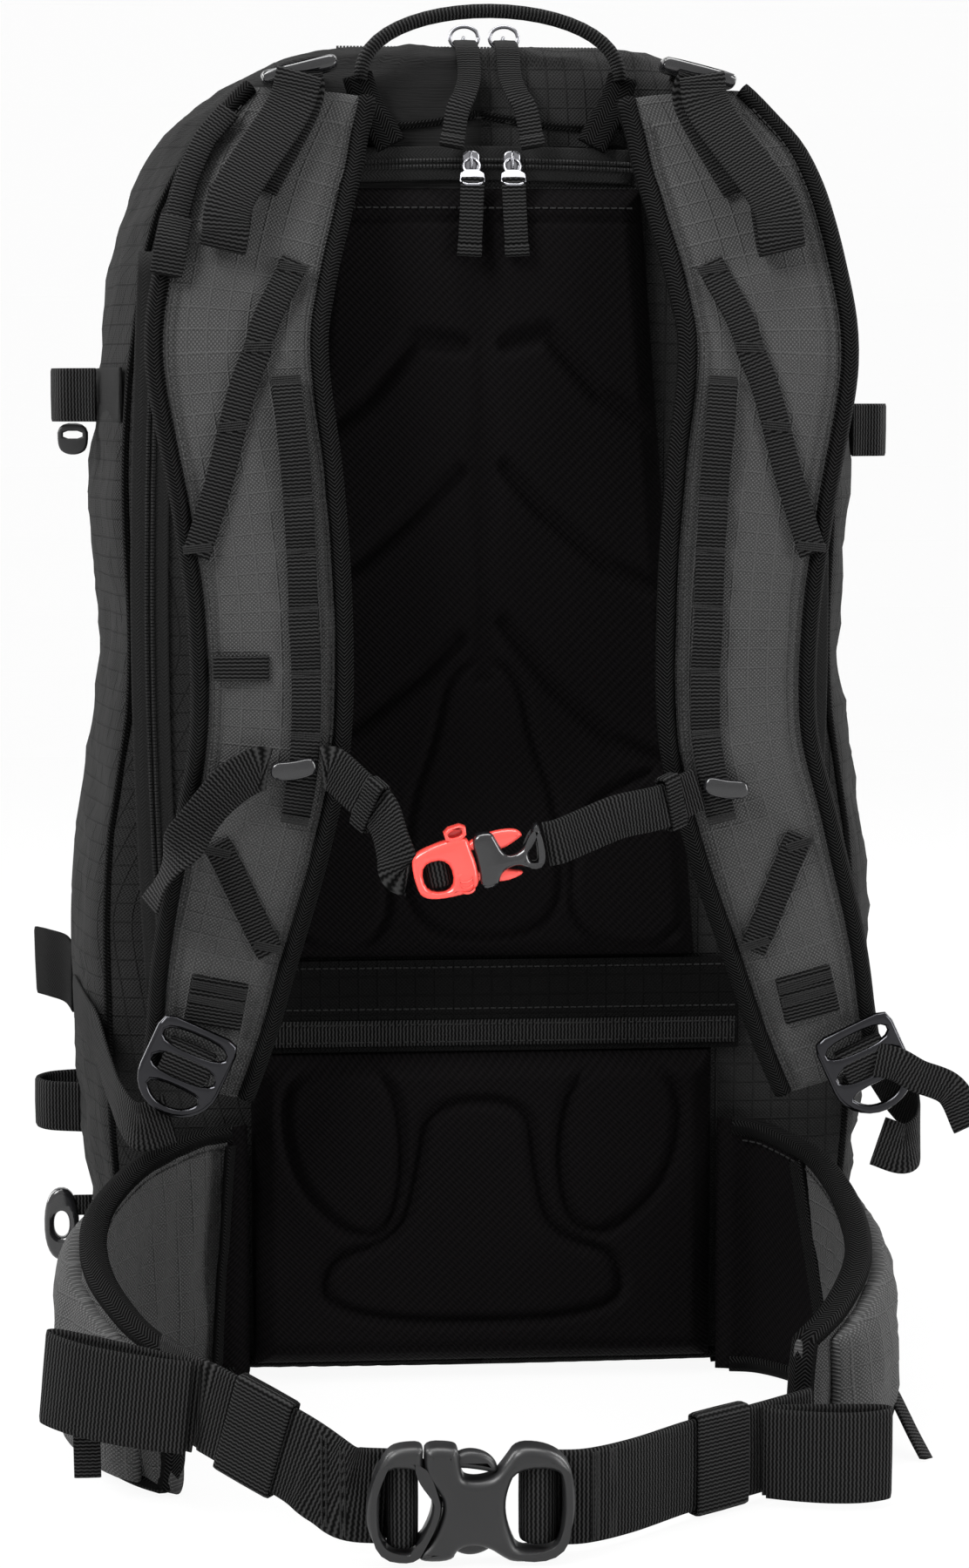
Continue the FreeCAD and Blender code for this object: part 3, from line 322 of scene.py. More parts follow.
def rib_group():
    """Webbing: ribs across the strip, split by a fine lengthwise weave."""
    tree, n, given, out = group("webbing_ribs", [PLACE, ("Rib", SIZE, 0.0016),
                                                 ("Thread", SIZE, 0.0024)], ["Height", "Mask"])
    x, y = split_place(n, given)
    turn = n.math("MULTIPLY", n.math("DIVIDE", y, given["Rib"]), 2 * math.pi)
    sway = n.math("MULTIPLY", wave(n, x, given["Thread"]), 0.5)
    give_both(n, n.ramp(n.math("SINE", n.math("ADD", turn, sway)), -0.8, 0.8), out)
    return tree


def twill_group():
    """Fine knit with a diagonal rib, over moulded foam."""
    tree, n, given, out = group("twill_knit", [PLACE, ("Rib", SIZE, 0.0022)],
                                ["Height", "Mask"])
    x, y = split_place(n, given)
    rib = wave(n, n.math("ADD", x, y), given["Rib"])
    stitch = wave(n, n.math("SUBTRACT", x, y), given["Rib"], halves=1)
    give_both(n, n.ramp(n.math("ADD", rib, n.math("MULTIPLY", stitch, 0.6)), -1.2, 1.4), out)
    return tree


def age_group():
    """Slow change of shade, as cloth takes dust and handling."""
    tree, n, given, out = group("handled", [PLACE, ("Scale", SIZE, 14.0)], ["Shade"])
    soft = n.add("ShaderNodeTexNoise")
    soft.inputs["Detail"].default_value = 5.0
    n.join(given["Place"], soft.inputs["Vector"])
    n.join(given["Scale"], soft.inputs["Scale"])
    n.join(n.ramp(soft.outputs[0], 0.3, 0.7), out["Shade"])
    return tree


WEAVES = {"ripstop": ripstop_group(), "herringbone": herringbone_group(),
          "ribs": rib_group(), "twill": twill_group()}
HANDLED = age_group()
print("weave groups", sorted(WEAVES))


# %% Cloth materials
def finish_material(n, skin, height, strength, distance):
    """A bump on the shader's normal, and the material's output."""
    relief = n.add("ShaderNodeBump")
    relief.inputs["Strength"].default_value = strength
    relief.inputs["Distance"].default_value = distance
    n.join(height, relief.inputs["Height"])
    n.join(relief.outputs[0], skin.inputs["Normal"])
    n.join(skin.outputs[0], n.add("ShaderNodeOutputMaterial").inputs[0])


THREAD_DEPTH = 0.0007


def cloth(name, weave, dark, light, rough=0.8, bump=0.25, sizes=(), turn=(0, 0, 0),
          uv=True, sheen=0.03, gloss=0.16, tint=(1.0, 1.0, 1.0), contrast=0.6):
    material, n = blank_material(name)
    place = n.add("ShaderNodeTexCoord")
    layout = place.outputs["UV" if uv else "Object"]
    turned = n.add("ShaderNodeMapping")
    turned.inputs["Rotation"].default_value = [math.radians(a) for a in turn]
    n.join(layout, turned.inputs["Vector"])
    pattern = n.add("ShaderNodeGroup", node_tree=WEAVES[weave])
    n.join(turned.outputs[0], pattern.inputs["Place"])
    for label, value in sizes:
        pattern.inputs[label].default_value = value
    handled = n.add("ShaderNodeGroup", node_tree=HANDLED)
    n.join(place.outputs["Object"], handled.inputs["Place"])
    base = n.mix(handled.outputs["Shade"], grey(dark, tint), grey(dark * 1.35, tint))
    shade = n.mix(n.math("MULTIPLY", pattern.outputs["Mask"], contrast), base, grey(light, tint))
    skin = n.add("ShaderNodeBsdfPrincipled")
    n.join(shade, skin.inputs["Base Color"])
    n.join(n.ramp(handled.outputs["Shade"], 0, 1, rough - 0.06, rough + 0.05),
           skin.inputs["Roughness"])
    skin.inputs["Sheen Weight"].default_value = sheen
    skin.inputs["Sheen Roughness"].default_value = 0.5
    skin.inputs["Specular IOR Level"].default_value = gloss
    finish_material(n, skin, pattern.outputs["Height"], bump, THREAD_DEPTH)
    return material


RIPSTOP = cloth("ripstop_cloth", "ripstop", 0.0175, 0.0035, sizes=[("Spacing", 0.0086)],
                bump=0.8, contrast=0.75, gloss=0.04, sheen=0.01)
RIPSTOP_STRAP = cloth("ripstop_strap", "ripstop", 0.036, 0.108, sizes=[("Spacing", 0.0085)],
                      bump=0.9, contrast=0.8, gloss=0.05, sheen=0.01)
# The waist band's ripstop is the bag's weave made much darker: painted shade, for the shadow that
# lies on the band.
RIPSTOP_BAND_PAINTED_SHADE = cloth("ripstop_band_painted_shade", "ripstop", 0.0050, 0.0012, sizes=[("Spacing", 0.0086)],
                     bump=0.6, gloss=0.02, sheen=0.0)
BINDING = cloth("binding_tape", "herringbone", 0.0012, 0.030, bump=1.0, gloss=0.02, sheen=0.0)
WEBBING = cloth("ribbed_webbing", "ribs", 0.0012, 0.034, bump=1.0, contrast=0.9, gloss=0.04,
                sheen=0.01)
FOAM_KNIT = cloth("foam_knit", "twill", 0.0020, 0.0085, bump=0.6, tint=(1.0, 0.90, 0.96),
                  gloss=0.02, sheen=0.0)
THREAD = cloth("sewing_thread", "twill", 0.010, 0.026, uv=False, bump=0.3,
               sizes=[("Rib", 0.0006)])
COIL_BLACK = cloth("zip_coil", "twill", 0.008, 0.024, uv=False, bump=0.3, rough=0.5,
                   sizes=[("Rib", 0.0009)])
COIL_GREY = cloth("grey_coil", "ribs", 0.045, 0.16, bump=0.8, rough=0.5)
ZIP_TAPE = cloth("zip_tape", "herringbone", 0.006, 0.013, bump=0.5, sizes=[("Stripe", 0.004)])
print("cloth finishes", len(bpy.data.materials))


# %% Hard materials
GRAIN = 0.0006      # size of the fine unevenness of a moulded skin, in metres


def hard(name, colour, rough, metal=0.0, coat=0.0, wear=0.5):
    """Moulded plastic or metal, a little lighter and rougher where it is handled."""
    material, n = blank_material(name)
    place = n.add("ShaderNodeTexCoord")
    handled = n.add("ShaderNodeGroup", node_tree=HANDLED)
    handled.inputs["Scale"].default_value = 60.0
    n.join(place.outputs["Object"], handled.inputs["Place"])
    worn = tuple(c * 1.25 + 0.004 for c in colour[:3]) + (1.0,)
    tone = n.mix(n.math("MULTIPLY", handled.outputs["Shade"], wear), colour[:3] + (1.0,), worn)
    skin = n.add("ShaderNodeBsdfPrincipled")
    n.join(tone, skin.inputs["Base Color"])
    n.join(n.ramp(handled.outputs["Shade"], 0, 1, rough * 0.85, rough * 1.15),
           skin.inputs["Roughness"])
    skin.inputs["Metallic"].default_value = metal
    skin.inputs["Coat Weight"].default_value = coat
    skin.inputs["Coat Roughness"].default_value = 0.12
    fine = n.add("ShaderNodeTexNoise")
    fine.inputs["Scale"].default_value = 1.0 / GRAIN
    n.join(place.outputs["Object"], fine.inputs["Vector"])
    finish_material(n, skin, fine.outputs[0], 0.12, 0.0001)
    return material


SATIN_BLACK = hard("satin_black_plastic", (0.0075, 0.0075, 0.008), 0.40)
GLOSS_BLACK = hard("gloss_black_plastic", (0.008, 0.008, 0.009), 0.16, coat=0.5)
CORAL = hard("coral_red_plastic", (0.84, 0.075, 0.06), 0.24, coat=0.4, wear=0.25)
DARK_CHROME = hard("dark_chrome", (0.034, 0.034, 0.037), 0.18, metal=1.0)
GUNMETAL = hard("gunmetal", (0.24, 0.24, 0.255), 0.26, metal=1.0)
ALLOY = hard("satin_alloy", (0.62, 0.62, 0.64), 0.35, metal=1.0)
SHEET = hard("frame_polyethylene", (0.55, 0.55, 0.53), 0.5)
JACKET = hard("cable_jacket", (0.02, 0.02, 0.02), 0.5)
AIRBAG_RED = cloth("airbag_nylon", "ripstop", 0.42, 0.50, tint=(1.0, 0.22, 0.12), uv=False,
                   rough=0.5)
SLOTS = {SATIN_BLACK: "black_plastic", GLOSS_BLACK: "black_plastic", CORAL: "red_plastic",
         DARK_CHROME: "dark_metal", GUNMETAL: "steel"}
print("all finishes", len(bpy.data.materials))

# %% [markdown]
# ## Building soft pieces over the solids
# A soft piece has to sit where its solid sits. A ray sent from outside towards the
# solid finds its surface, and a regular net of such hits gives a smooth skin with an
# even mesh, on which seams, grooves and wrinkles can then be pressed in.


# %% Helpers for meshes
def surface_of(*nodes):
    """One search tree over the outer faces of some solids."""
    points, faces = [], []
    for node in nodes:
        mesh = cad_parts[node].data
        start = len(points)
        points += [v.co.copy() for v in mesh.vertices]
        faces += [[start + i for i in p.vertices] for p in mesh.polygons]
    return BVHTree.FromPolygons(points, faces)


def add_piece(name, points, faces, uvs=None, smooth=True):
    """A mesh object at the origin, with an optional UV for each vertex."""
    data = bpy.data.meshes.new(name)
    data.from_pydata([tuple(p) for p in points], [], faces)
    if uvs is not None:
        layer = data.uv_layers.new(name="UVMap")
        for loop in data.loops:
            layer.data[loop.index].uv = uvs[loop.vertex_index]
    data.polygons.foreach_set("use_smooth", [smooth] * len(data.polygons))
    return link(name, data)


def dress(obj, material, body=PACK, slot=None, replaces=()):
    """Material and body in one step; the slot is not used."""
    obj.data.materials.clear()
    obj.data.materials.append(material)
    if body:
        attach(obj, body)
    if replaces:
        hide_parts(*replaces)
    return obj


def apply_modifiers(obj):
    """Swap an object's mesh for its finished one, and drop the modifiers."""
    graph = bpy.context.evaluated_depsgraph_get()
    graph.update()
    done = bpy.data.meshes.new_from_object(obj.evaluated_get(graph), preserve_all_data_layers=True,
                                           depsgraph=graph)
    obj.modifiers.clear()
    old, obj.data = obj.data, done
    bpy.data.meshes.remove(old)
    return obj


def turn_outward(obj):
    """Make every face of a closed mesh look outwards."""
    mesh = bmesh.new()
    mesh.from_mesh(obj.data)
    bmesh.ops.recalc_face_normals(mesh, faces=mesh.faces)
    mesh.to_mesh(obj.data)
    mesh.free()


def ease(low, high, value):
    """Nought below low, one above high, and a soft step between."""
    t = min(1.0, max(0.0, (value - low) / (high - low)))
    return t * t * (3 - 2 * t)


def through(a, b, c, d, t):
    """Catmull-Rom between b and c."""
    return 0.5 * ((2 * b) + (c - a) * t + (2 * a - 5 * b + 4 * c - d) * t * t
                  + (3 * b - 3 * c + d - a) * t * t * t)


def smooth_path(points, steps=8):
    """A Catmull-Rom line through points."""
    ends = [points[0] * 2 - points[1]] + list(points) + [points[-1] * 2 - points[-2]]
    line = [through(*four, i / steps) for four in zip(ends, ends[1:], ends[2:], ends[3:])
            for i in range(steps)]
    return line + [points[-1]]


def averaged(line, reach):
    """Each place moved to the middle of its neighbours up to reach steps away."""
    near = [line[max(0, i - reach):i + reach + 1] for i in range(len(line))]
    return [sum(some, Vector()) / len(some) for some in near]


def path_frames(points, across):
    """Each point of a line, with the directions across it and out of it."""
    result = []
    last = len(points) - 1
    for i, point in enumerate(points):
        along = (points[min(i + 1, last)] - points[max(i - 1, 0)]).normalized()
        hint = across(i) if callable(across) else across
        side = (hint - along * along.dot(hint)).normalized()
        result.append((point, side, side.cross(along).normalized()))
    return result


def bent(value, power):
    """A sine or cosine whose curve is squared off by a power under 1."""
    return math.copysign(abs(value) ** power, value)


def tube_faces(rows, count, closed=False):
    """Faces that join rings of count points, capped at both ends unless closed."""
    faces = []
    for i in range(rows if closed else rows - 1):
        j = (i + 1) % rows
        for k in range(count):
            m = (k + 1) % count
            faces.append((i * count + k, i * count + m, j * count + m, j * count + k))
    if not closed:
        faces.append(tuple(range(count - 1, -1, -1)))
        faces.append(tuple((rows - 1) * count + k for k in range(count)))
    return faces


def net_faces(rows, cols):
    """Faces of a net with rows times cols cells."""
    wide = cols + 1
    return [(a, a + 1, a + 1 + wide, a + wide) for i in range(rows)
            for a in range(i * wide, i * wide + cols)]


TAPE_RING = 10


def tape(name, points, across, width, thick, material, closed=False, round_=False,
         slot="webbing", **kw):
    """A strip or a round tube along a line, with its UV in metres."""
    flat, lift = (1.0, 1.0) if round_ else (0.25, 0.6)
    ring = []
    for k in range(TAPE_RING):
        a = 2 * math.pi * (k + 0.5) / TAPE_RING
        ring.append((bent(math.cos(a), flat) * width / 2, bent(math.sin(a), lift) * thick / 2))
    verts, uvs = [], []
    length = 0.0
    for i, (point, side, normal) in enumerate(path_frames(points, across)):
        if i:
            length += (points[i] - points[i - 1]).length
        for u, v in ring:
            verts.append(point + side * u + normal * v)
            uvs.append((u + (0.02 if v < 0 else 0.0), length))
    obj = add_piece(name, verts, tube_faces(len(points), TAPE_RING, closed), uvs)
    return dress(obj, material, slot=slot, **kw)


print("mesh helpers ready, tape ring", TAPE_RING)

# %% [markdown]
# ## The bag
# The bag is one sewn shell: a ruler-straight back wall, two sides that belly out low
# down, and a crown that rolls forward. The skin is a net of rays sent in towards the
# middle of the bag. Wrinkles are then pressed in with stretched noise, deeper on the
# sides than on the flat back.

# %% Rays onto the bag
BAG_NODES = ("bag_front", "bag_left_side", "bag_right_side", "bag_top", "bag_base")
bag_skin = surface_of("back_wall", *BAG_NODES)
CORE_X, CORE_Y = 0.0, BACK + 0.085
CORE_LOW, CORE_HIGH = 0.070, 0.500
FAR_OUT = 0.9
ROUND, UP = 240, 170
DENT, SMOOTHINGS = 0.006, 5


def bag_ray(azimuth, climb):
    """Start and direction for one place on the bag; climb runs from -1.0 to 2.0."""
    if climb < 0:
        height, tilt = CORE_LOW, climb * math.pi / 2
    elif climb > 1:
        height, tilt = CORE_HIGH, (climb - 1) * math.pi / 2
    else:
        height, tilt = CORE_LOW + (CORE_HIGH - CORE_LOW) * climb, 0.0
    out = Vector((math.sin(azimuth) * math.cos(tilt), -math.cos(azimuth) * math.cos(tilt),
                  math.sin(tilt)))
    return Vector((CORE_X, CORE_Y, height)), out


def bag_hit(azimuth, climb):
    core, out = bag_ray(azimuth, climb)
    place = bag_skin.ray_cast(core + out * FAR_OUT, -out)[0]
    return None if place is None else (core, out, (place - core).dot(out))


climbs = [-0.97 + 2.94 * i / (UP - 1) for i in range(UP)]
azimuths = [2 * math.pi * k / ROUND for k in range(ROUND)]
reach = [[bag_hit(a, c) for a in azimuths] for c in climbs]
radii = [[hit[2] if hit else 0.0 for hit in row] for row in reach]
for i in range(1, UP - 1):
    for k in range(ROUND):
        beside = sorted((radii[i][k - 1], radii[i][(k + 1) % ROUND], radii[i - 1][k],
                         radii[i + 1][k]))[1:3]
        middle = sum(beside) / 2
        if radii[i][k] < middle - DENT:
            radii[i][k] = middle
for _ in range(SMOOTHINGS):
    radii = [[(radii[max(i - 1, 0)][k] + radii[min(i + 1, UP - 1)][k] + radii[i][k - 1]
               + radii[i][(k + 1) % ROUND] + 2 * radii[i][k]) / 6 for k in range(ROUND)]
             for i in range(UP)]
print("bag rays", UP * ROUND, "radius", round(min(map(min, radii)), 3))


# %% Skin, seams and wrinkles of the bag
def at(x, y, z):
    """A place in millimetres from the back wall's plane, as metres in the frame."""
    return Vector((x * MM, y * MM + BACK, z * MM))


def places(points):
    """Many such places."""
    return [at(*p) for p in points]


def in_mm(place):
    """The other way round: a place in the frame, as at would take it."""
    return place.x / MM, (place.y - BACK) / MM, place.z / MM


def bag_point(i, k):
    core, out = bag_ray(azimuths[k], climbs[i])
    place = core + out * radii[i][k]
    place.y = max(place.y, BACK)
    place.z = max(place.z, 0.0004)
    return place


skin = [[bag_point(i, k) for k in range(ROUND)] for i in range(UP)]


def net_normal(net, i, k):
    up = net[min(i + 1, len(net) - 1)][k] - net[max(i - 1, 0)][k]
    across = net[i][(k + 1) % ROUND] - net[i][k - 1]
    return across.cross(up).normalized()


def wrinkle(place, stretch, size):
    """Folded noise: soft ridges, drawn out along one axis."""
    p = Vector((place.x * stretch[0], place.y * stretch[1], place.z * stretch[2])) / size
    return 1.0 - 2.0 * abs(noise.noise(p))


def build_bag():
    points, uvs = [], []
    for i in range(UP):
        around = 0.0
        for k in range(ROUND + 1):
            base = skin[i][k % ROUND]
            normal = net_normal(skin, i, k % ROUND)
            if k:
                around += (base - skin[i][k - 1]).length
            sides = 1.0 - abs(normal.y) if base.y < BACK + 0.02 else 1.0
            push = 0.0026 * sides * wrinkle(base, (1, 1, 2.2), 0.062)
            push += 0.0012 * sides * wrinkle(base + Vector((3, 1, 2)), (1.6, 1.6, 1), 0.024)
            push *= ease(0.0, 0.012, base.z)
            points.append(base + normal * (push - 0.0004 * sides))
            uvs.append((around, base.z))
    faces = net_faces(UP - 1, ROUND)
    for i, order in ((0, 1), (UP - 1, -1)):
        ring = [i * (ROUND + 1) + k for k in range(ROUND)]
        middle = len(points)
        points.append(sum((points[j] for j in ring), Vector()) / ROUND)
        uvs.append((0.0, points[-1].z))
        for a, b in zip(ring, ring[1:] + ring[:1]):
            faces.append((middle, b, a) if order > 0 else (middle, a, b))
    bag = add_piece("bag_cloth", points, faces, uvs)
    return dress(bag, RIPSTOP, slot="ripstop", replaces=(*BAG_NODES, "back_wall"))


bag = build_bag()
print("bag cloth", len(bag.data.polygons), "faces")


# %% Piping along the edge of the back wall
def edge_line(side):
    """The line where the back turns into the side, from the foot to the shoulder."""
    line = []
    for i in range(UP):
        if not 0.02 < skin[i][0].z < 0.575:
            continue
        half = range(0, ROUND // 2) if side > 0 else range(ROUND - 1, ROUND // 2, -1)
        for k in half:
            if skin[i][k].y > BACK + 0.0035:
                line.append(skin[i][k] + Vector((0, -0.0008, 0)))
                break
    return line


EDGE_LINES = {}
for side, word in SIDES:
    EDGE_LINES[side] = averaged(edge_line(side), 3)
    tape(f"back_piping_{word}", EDGE_LINES[side], Vector((0, 1, 0)), 0.0036, 0.0036, BINDING,
         round_=True)
print("piping follows", [len(line) for line in EDGE_LINES.values()], "places")

# %% [markdown]
# ## Moulded back panel
# The foam is pressed in a hot mould: it stands proud of the wall, and its channels let
# air pass. A height field does this well. Each channel is a line with a width and a
# depth, each raised pod an outline whose edge falls into a groove.


# %% Height fields for moulded foam
def to_segment(x, z, a, b):
    """Distance from a place to a line between two points."""
    dx, dz = b[0] - a[0], b[1] - a[1]
    share = ((x - a[0]) * dx + (z - a[1]) * dz) / (dx * dx + dz * dz)
    share = min(1.0, max(0.0, share))
    return math.hypot(x - a[0] - dx * share, z - a[1] - dz * share)


def to_line(x, z, line, closed=False):
    pairs = list(zip(line, line[1:] + (line[:1] if closed else [])))
    return min(to_segment(x, z, a, b) for a, b in pairs if a != b)


def inside(x, z, outline):
    """Whether a place lies within an outline."""
    odd = False
    for (xa, za), (xb, zb) in zip(outline, outline[1:] + outline[:1]):
        if (za > z) != (zb > z) and x < (xb - xa) * (z - za) / (zb - za) + xa:
            odd = not odd
    return odd


def rounded(outline, passes=3):
    """Cut the corners of an outline, again and again."""
    for _ in range(passes):
        cut = []
        for (xa, za), (xb, zb) in zip(outline, outline[1:] + outline[:1]):
            cut.append((xa * 0.75 + xb * 0.25, za * 0.75 + zb * 0.25))
            cut.append((xa * 0.25 + xb * 0.75, za * 0.25 + zb * 0.75))
        outline = cut
    return outline


EDGE_FALL = 9.0      # mm over which the foam falls off to its rim


def moulded(name, half_at, foot, top, thick, relief, step, node, material, slot):
    """A foam slab on the back wall, its front face pushed by relief(x, z) in mm."""
    cols = int(2 * max(half_at(foot), half_at(top)) / step)
    rows = int((top - foot) / step)
    points, uvs = [], []
    for i in range(rows + 1):
        z = foot + (top - foot) * i / rows
        for k in range(cols + 1):
            half = half_at(z)
            x = -half + 2 * half * k / cols
            inset = min(1.0, max(min(half - abs(x), top - z, z - foot), 0.0) / EDGE_FALL)
            height = thick * inset ** 0.45
            depth = relief(x, z) * inset
            points.append(at(x, -max(height + depth, 0.3), z))
            uvs.append((x * MM, z * MM))
    faces = net_faces(rows, cols)
    wide = cols + 1
    rim = list(range(wide)) + [i * wide + cols for i in range(1, rows + 1)]
    rim += [rows * wide + k for k in range(cols - 1, -1, -1)]
    rim += [i * wide for i in range(rows - 1, 0, -1)]
    start = len(points)
    for r in rim:
        points.append(Vector((points[r].x, BACK - 0.0001, points[r].z)))
        uvs.append(uvs[r])
    count = len(rim)
    for j in range(count):
        m = (j + 1) % count
        faces.append((rim[m], rim[j], start + j, start + m))
    faces.append(tuple(start + j for j in range(count)))
    obj = add_piece(name, points, faces, uvs)
    return dress(obj, material, slot=slot, replaces=[node])


print("foam falls off over", EDGE_FALL, "mm")


# %% Channels and pods of the back panel
def groove(distance, width, depth):
    """How far a groove presses in, at some distance from its middle line."""
    return -depth * (1.0 - ease(0.0, width / 2, distance))


CHEVRONS = (
    ([(-9, 468), (-30, 470), (-52, 444), (-84, 420)], 15, 5.0),
    ([(10, 468), (28, 473), (52, 446), (88, 424)], 15, 5.0),
    ([(-10, 412), (-26, 398), (-56, 372), (-90, 352)], 13, 4.5),
    ([(9, 414), (27, 394), (56, 370), (92, 352)], 13, 4.5),
    ([(-11, 338), (-28, 322), (-60, 297), (-94, 279)], 13, 4.5),
    ([(9, 345), (32, 316), (58, 292), (95, 276)], 13, 4.5),
)
FLAT_PODS = [rounded(p) for p in (
    [(-88, 286), (-70, 276), (-46, 262), (-40, 200), (-92, 197)],
    [(92, 286), (70, 276), (42, 262), (38, 200), (96, 197)],
    [(-16, 322), (0, 330), (16, 322), (22, 292), (34, 262), (36, 204), (-36, 204), (-34, 262),
     (-22, 292)])]
SPINE_WIDTH = 17.0


def panel_relief(x, z):
    depth = 0.0
    for line, width, deep in CHEVRONS:
        depth = min(depth, groove(to_line(x, z, line), width, deep))
    for pod in FLAT_PODS:
        edge = to_line(x, z, pod, closed=True)
        depth = min(depth, groove(edge, 7.0, 3.2))
    if z > 318:
        spine = abs(x) + 4 * math.sin(z / 26.0) ** 2
        depth = min(depth, groove(spine, SPINE_WIDTH + (z - 318) * 0.06, 3.5))
    depth = min(depth, groove(abs(z - 522), 5.0, 2.2))
    return depth + 0.5 * noise.noise(Vector((x, z, 3.0)) / 45.0)


foam_low, foam_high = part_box("back_foam")
FOAM_FOOT, FOAM_TOP = foam_low.z / MM, foam_high.z / MM
FOAM = (BACK - foam_low.y) / MM


def foam_half(z):
    share = (z - FOAM_FOOT) / (FOAM_TOP - FOAM_FOOT)
    return foam_high.x / MM + share * (70.0 - foam_high.x / MM)


STEP = 1.8
back_panel = moulded("back_panel", foam_half, FOAM_FOOT, FOAM_TOP, FOAM, panel_relief, STEP,
                     "back_foam", FOAM_KNIT, "mesh_foam")
print("back panel", len(back_panel.data.polygons), "faces")

# %% Lumbar pad
LUMBAR_PODS = [rounded(p) for p in (
    [(-92, 146), (-44, 148), (-36, 110), (-42, 72), (-60, 66), (-88, 96)],
    [(90, 146), (42, 148), (32, 110), (38, 72), (56, 66), (86, 96)],
    [(-26, 130), (20, 130), (22, 100), (30, 66), (64, 58), (60, 28), (-70, 28), (-74, 58),
     (-38, 66), (-30, 100)])]
lumbar_low, lumbar_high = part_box("lumbar_pad")


def lumbar_relief(x, z):
    depth = 0.0
    for pod in LUMBAR_PODS:
        edge = to_line(x, z, pod, closed=True)
        depth = min(depth, groove(edge, 9.0, 4.5))
        if inside(x, z, pod):
            depth = max(depth, -4.5) + 0.8 * ease(0, 14, edge)
    depth = min(depth, groove(abs(z - 17), 4.0, 1.5), groove(abs(abs(x) - 97), 4.0, 1.5))
    return depth + 0.6 * noise.noise(Vector((x, z, 9.0)) / 40.0)


lumbar = moulded("lumbar_cushion", lambda z: lumbar_high.x / MM, lumbar_low.z / MM,
                 lumbar_high.z / MM, (BACK - lumbar_low.y) / MM, lumbar_relief, STEP,
                 "lumbar_pad", FOAM_KNIT, "mesh_foam")
print("lumbar", len(lumbar.data.polygons), "faces")

# %% [markdown]
# ## Shoulder straps
# Each strap is 14 mm foam in ripstop, bound with tape along both edges. Its centre
# line runs through a few stations: how far down, how far out, how far forward, and how
# wide. The skin starts slim and is then blown up a little as cloth, with its edges
# held, so it swells between the seams as real foam does.

# %% Stations of the straps
STATIONS = (
    (0.000, 82.0, 8.5, 54.0), (0.040, 91.0, 14.0, 69.0), (0.095, 101.0, 24.0, 77.0),
    (0.180, 110.0, 39.0, 76.0), (0.265, 114.0, 48.0, 77.0), (0.395, 106.0, 53.0, 73.0),
    (0.520, 101.0, 53.0, 69.0), (0.640, 101.5, 53.0, 68.0), (0.740, 111.0, 52.0, 67.0),
    (0.860, 125.0, 46.0, 62.0), (0.940, 133.0, 42.0, 56.0), (1.000, 140.0, 40.0, 48.0))
LEAN = ((0.0, 6.0), (0.64, 6.5), (1.0, 12.0))
SHOULDER, STRAP_FOOT, STRAP = 575.0, 144.0, 14.0


def read(rows, key, column=1):
    """Read a table by straight interpolation."""
    for a, b in zip(rows, rows[1:]):
        if key <= b[0]:
            share = (key - a[0]) / (b[0] - a[0])
            return a[column] + (b[column] - a[column]) * share
    return rows[-1][column]


def strap_frames(side):
    drop = STRAP_FOOT - SHOULDER
    centres = [Vector((side * out + read(LEAN, s), -forward, SHOULDER + drop * s))
               for s, out, forward, _ in STATIONS]
    rows = []
    for i, centre in enumerate(centres):
        along = (centres[min(i + 1, len(centres) - 1)] - centres[max(i - 1, 0)]).normalized()
        along.x *= min(1.0, 0.15 + STATIONS[i][0] / 0.2)
        along.normalize()
        out = (Vector((0, -1, 0)) - along * along.dot(Vector((0, -1, 0)))).normalized()
        rows.append((centre, along.cross(out), out))
    return rows


STRAP_ROWS = {side: strap_frames(side) for side in (-1, 1)}


def on_strap(side, share, across, proud):
    """A place on the front of a strap: share down, mm towards +x, mm proud."""
    rows = STRAP_ROWS[side]
    keys = [s[0] for s in STATIONS]
    i = max(0, min(len(keys) - 2, sum(k < share for k in keys) - 1))
    f = (share - keys[i]) / (keys[i + 1] - keys[i])
    before, after = rows[max(i - 1, 0)], rows[min(i + 2, len(rows) - 1)]
    centre, way, out = (through(a, b, c, d, f) for a, b, c, d in
                        zip(before, rows[i], rows[i + 1], after))
    if way.x < 0:
        way = -way
    spot = centre + way.normalized() * across + out.normalized() * (STRAP / 2 + proud)
    return at(*spot)


def half_width(share):
    """Half the strap's width, softened between its stations."""
    near = (share - 0.03, share - 0.015, share, share + 0.015, share + 0.03)
    return sum(read(STATIONS, min(1.0, max(0.0, s)), 3) for s in near) / 10


print("strap stations", len(STATIONS))


# %% Blowing a skin up as cloth
PRESSURE, FRAMES = 4.0, 20


def swell(obj, held, cap):
    """Cloth under pressure with some points held; no point moves more than cap mm."""
    start = [v.co.copy() for v in obj.data.vertices]
    pins = obj.vertex_groups.new(name="held")
    pins.add([i for i in range(len(start)) if held(i)], 1.0, "REPLACE")
    cloth_mod = obj.modifiers.new("cloth", "CLOTH")
    settings = cloth_mod.settings
    settings.vertex_group_mass = "held"
    settings.use_pressure = True
    settings.uniform_pressure_force = PRESSURE
    settings.effector_weights.gravity = 0.0
    settings.tension_stiffness = settings.compression_stiffness = 18.0
    settings.bending_stiffness = 1.5
    settings.quality = 4
    cloth_mod.collision_settings.use_collision = False
    scene = bpy.context.scene
    for f in range(1, FRAMES + 1):
        scene.frame_set(f)
    apply_modifiers(obj)
    scene.frame_set(1)
    for vertex, before in zip(obj.data.vertices, start):
        step = vertex.co - before
        if step.length > cap * MM:
            vertex.co = before + step * (cap * MM / step.length)
    obj.vertex_groups.clear()
    return obj


print("cloth swells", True)


# %% Strap foam
AROUND, ALONG = 40, 120
STRAP_RUN = 0.44      # the strap's length for its UV, in metres


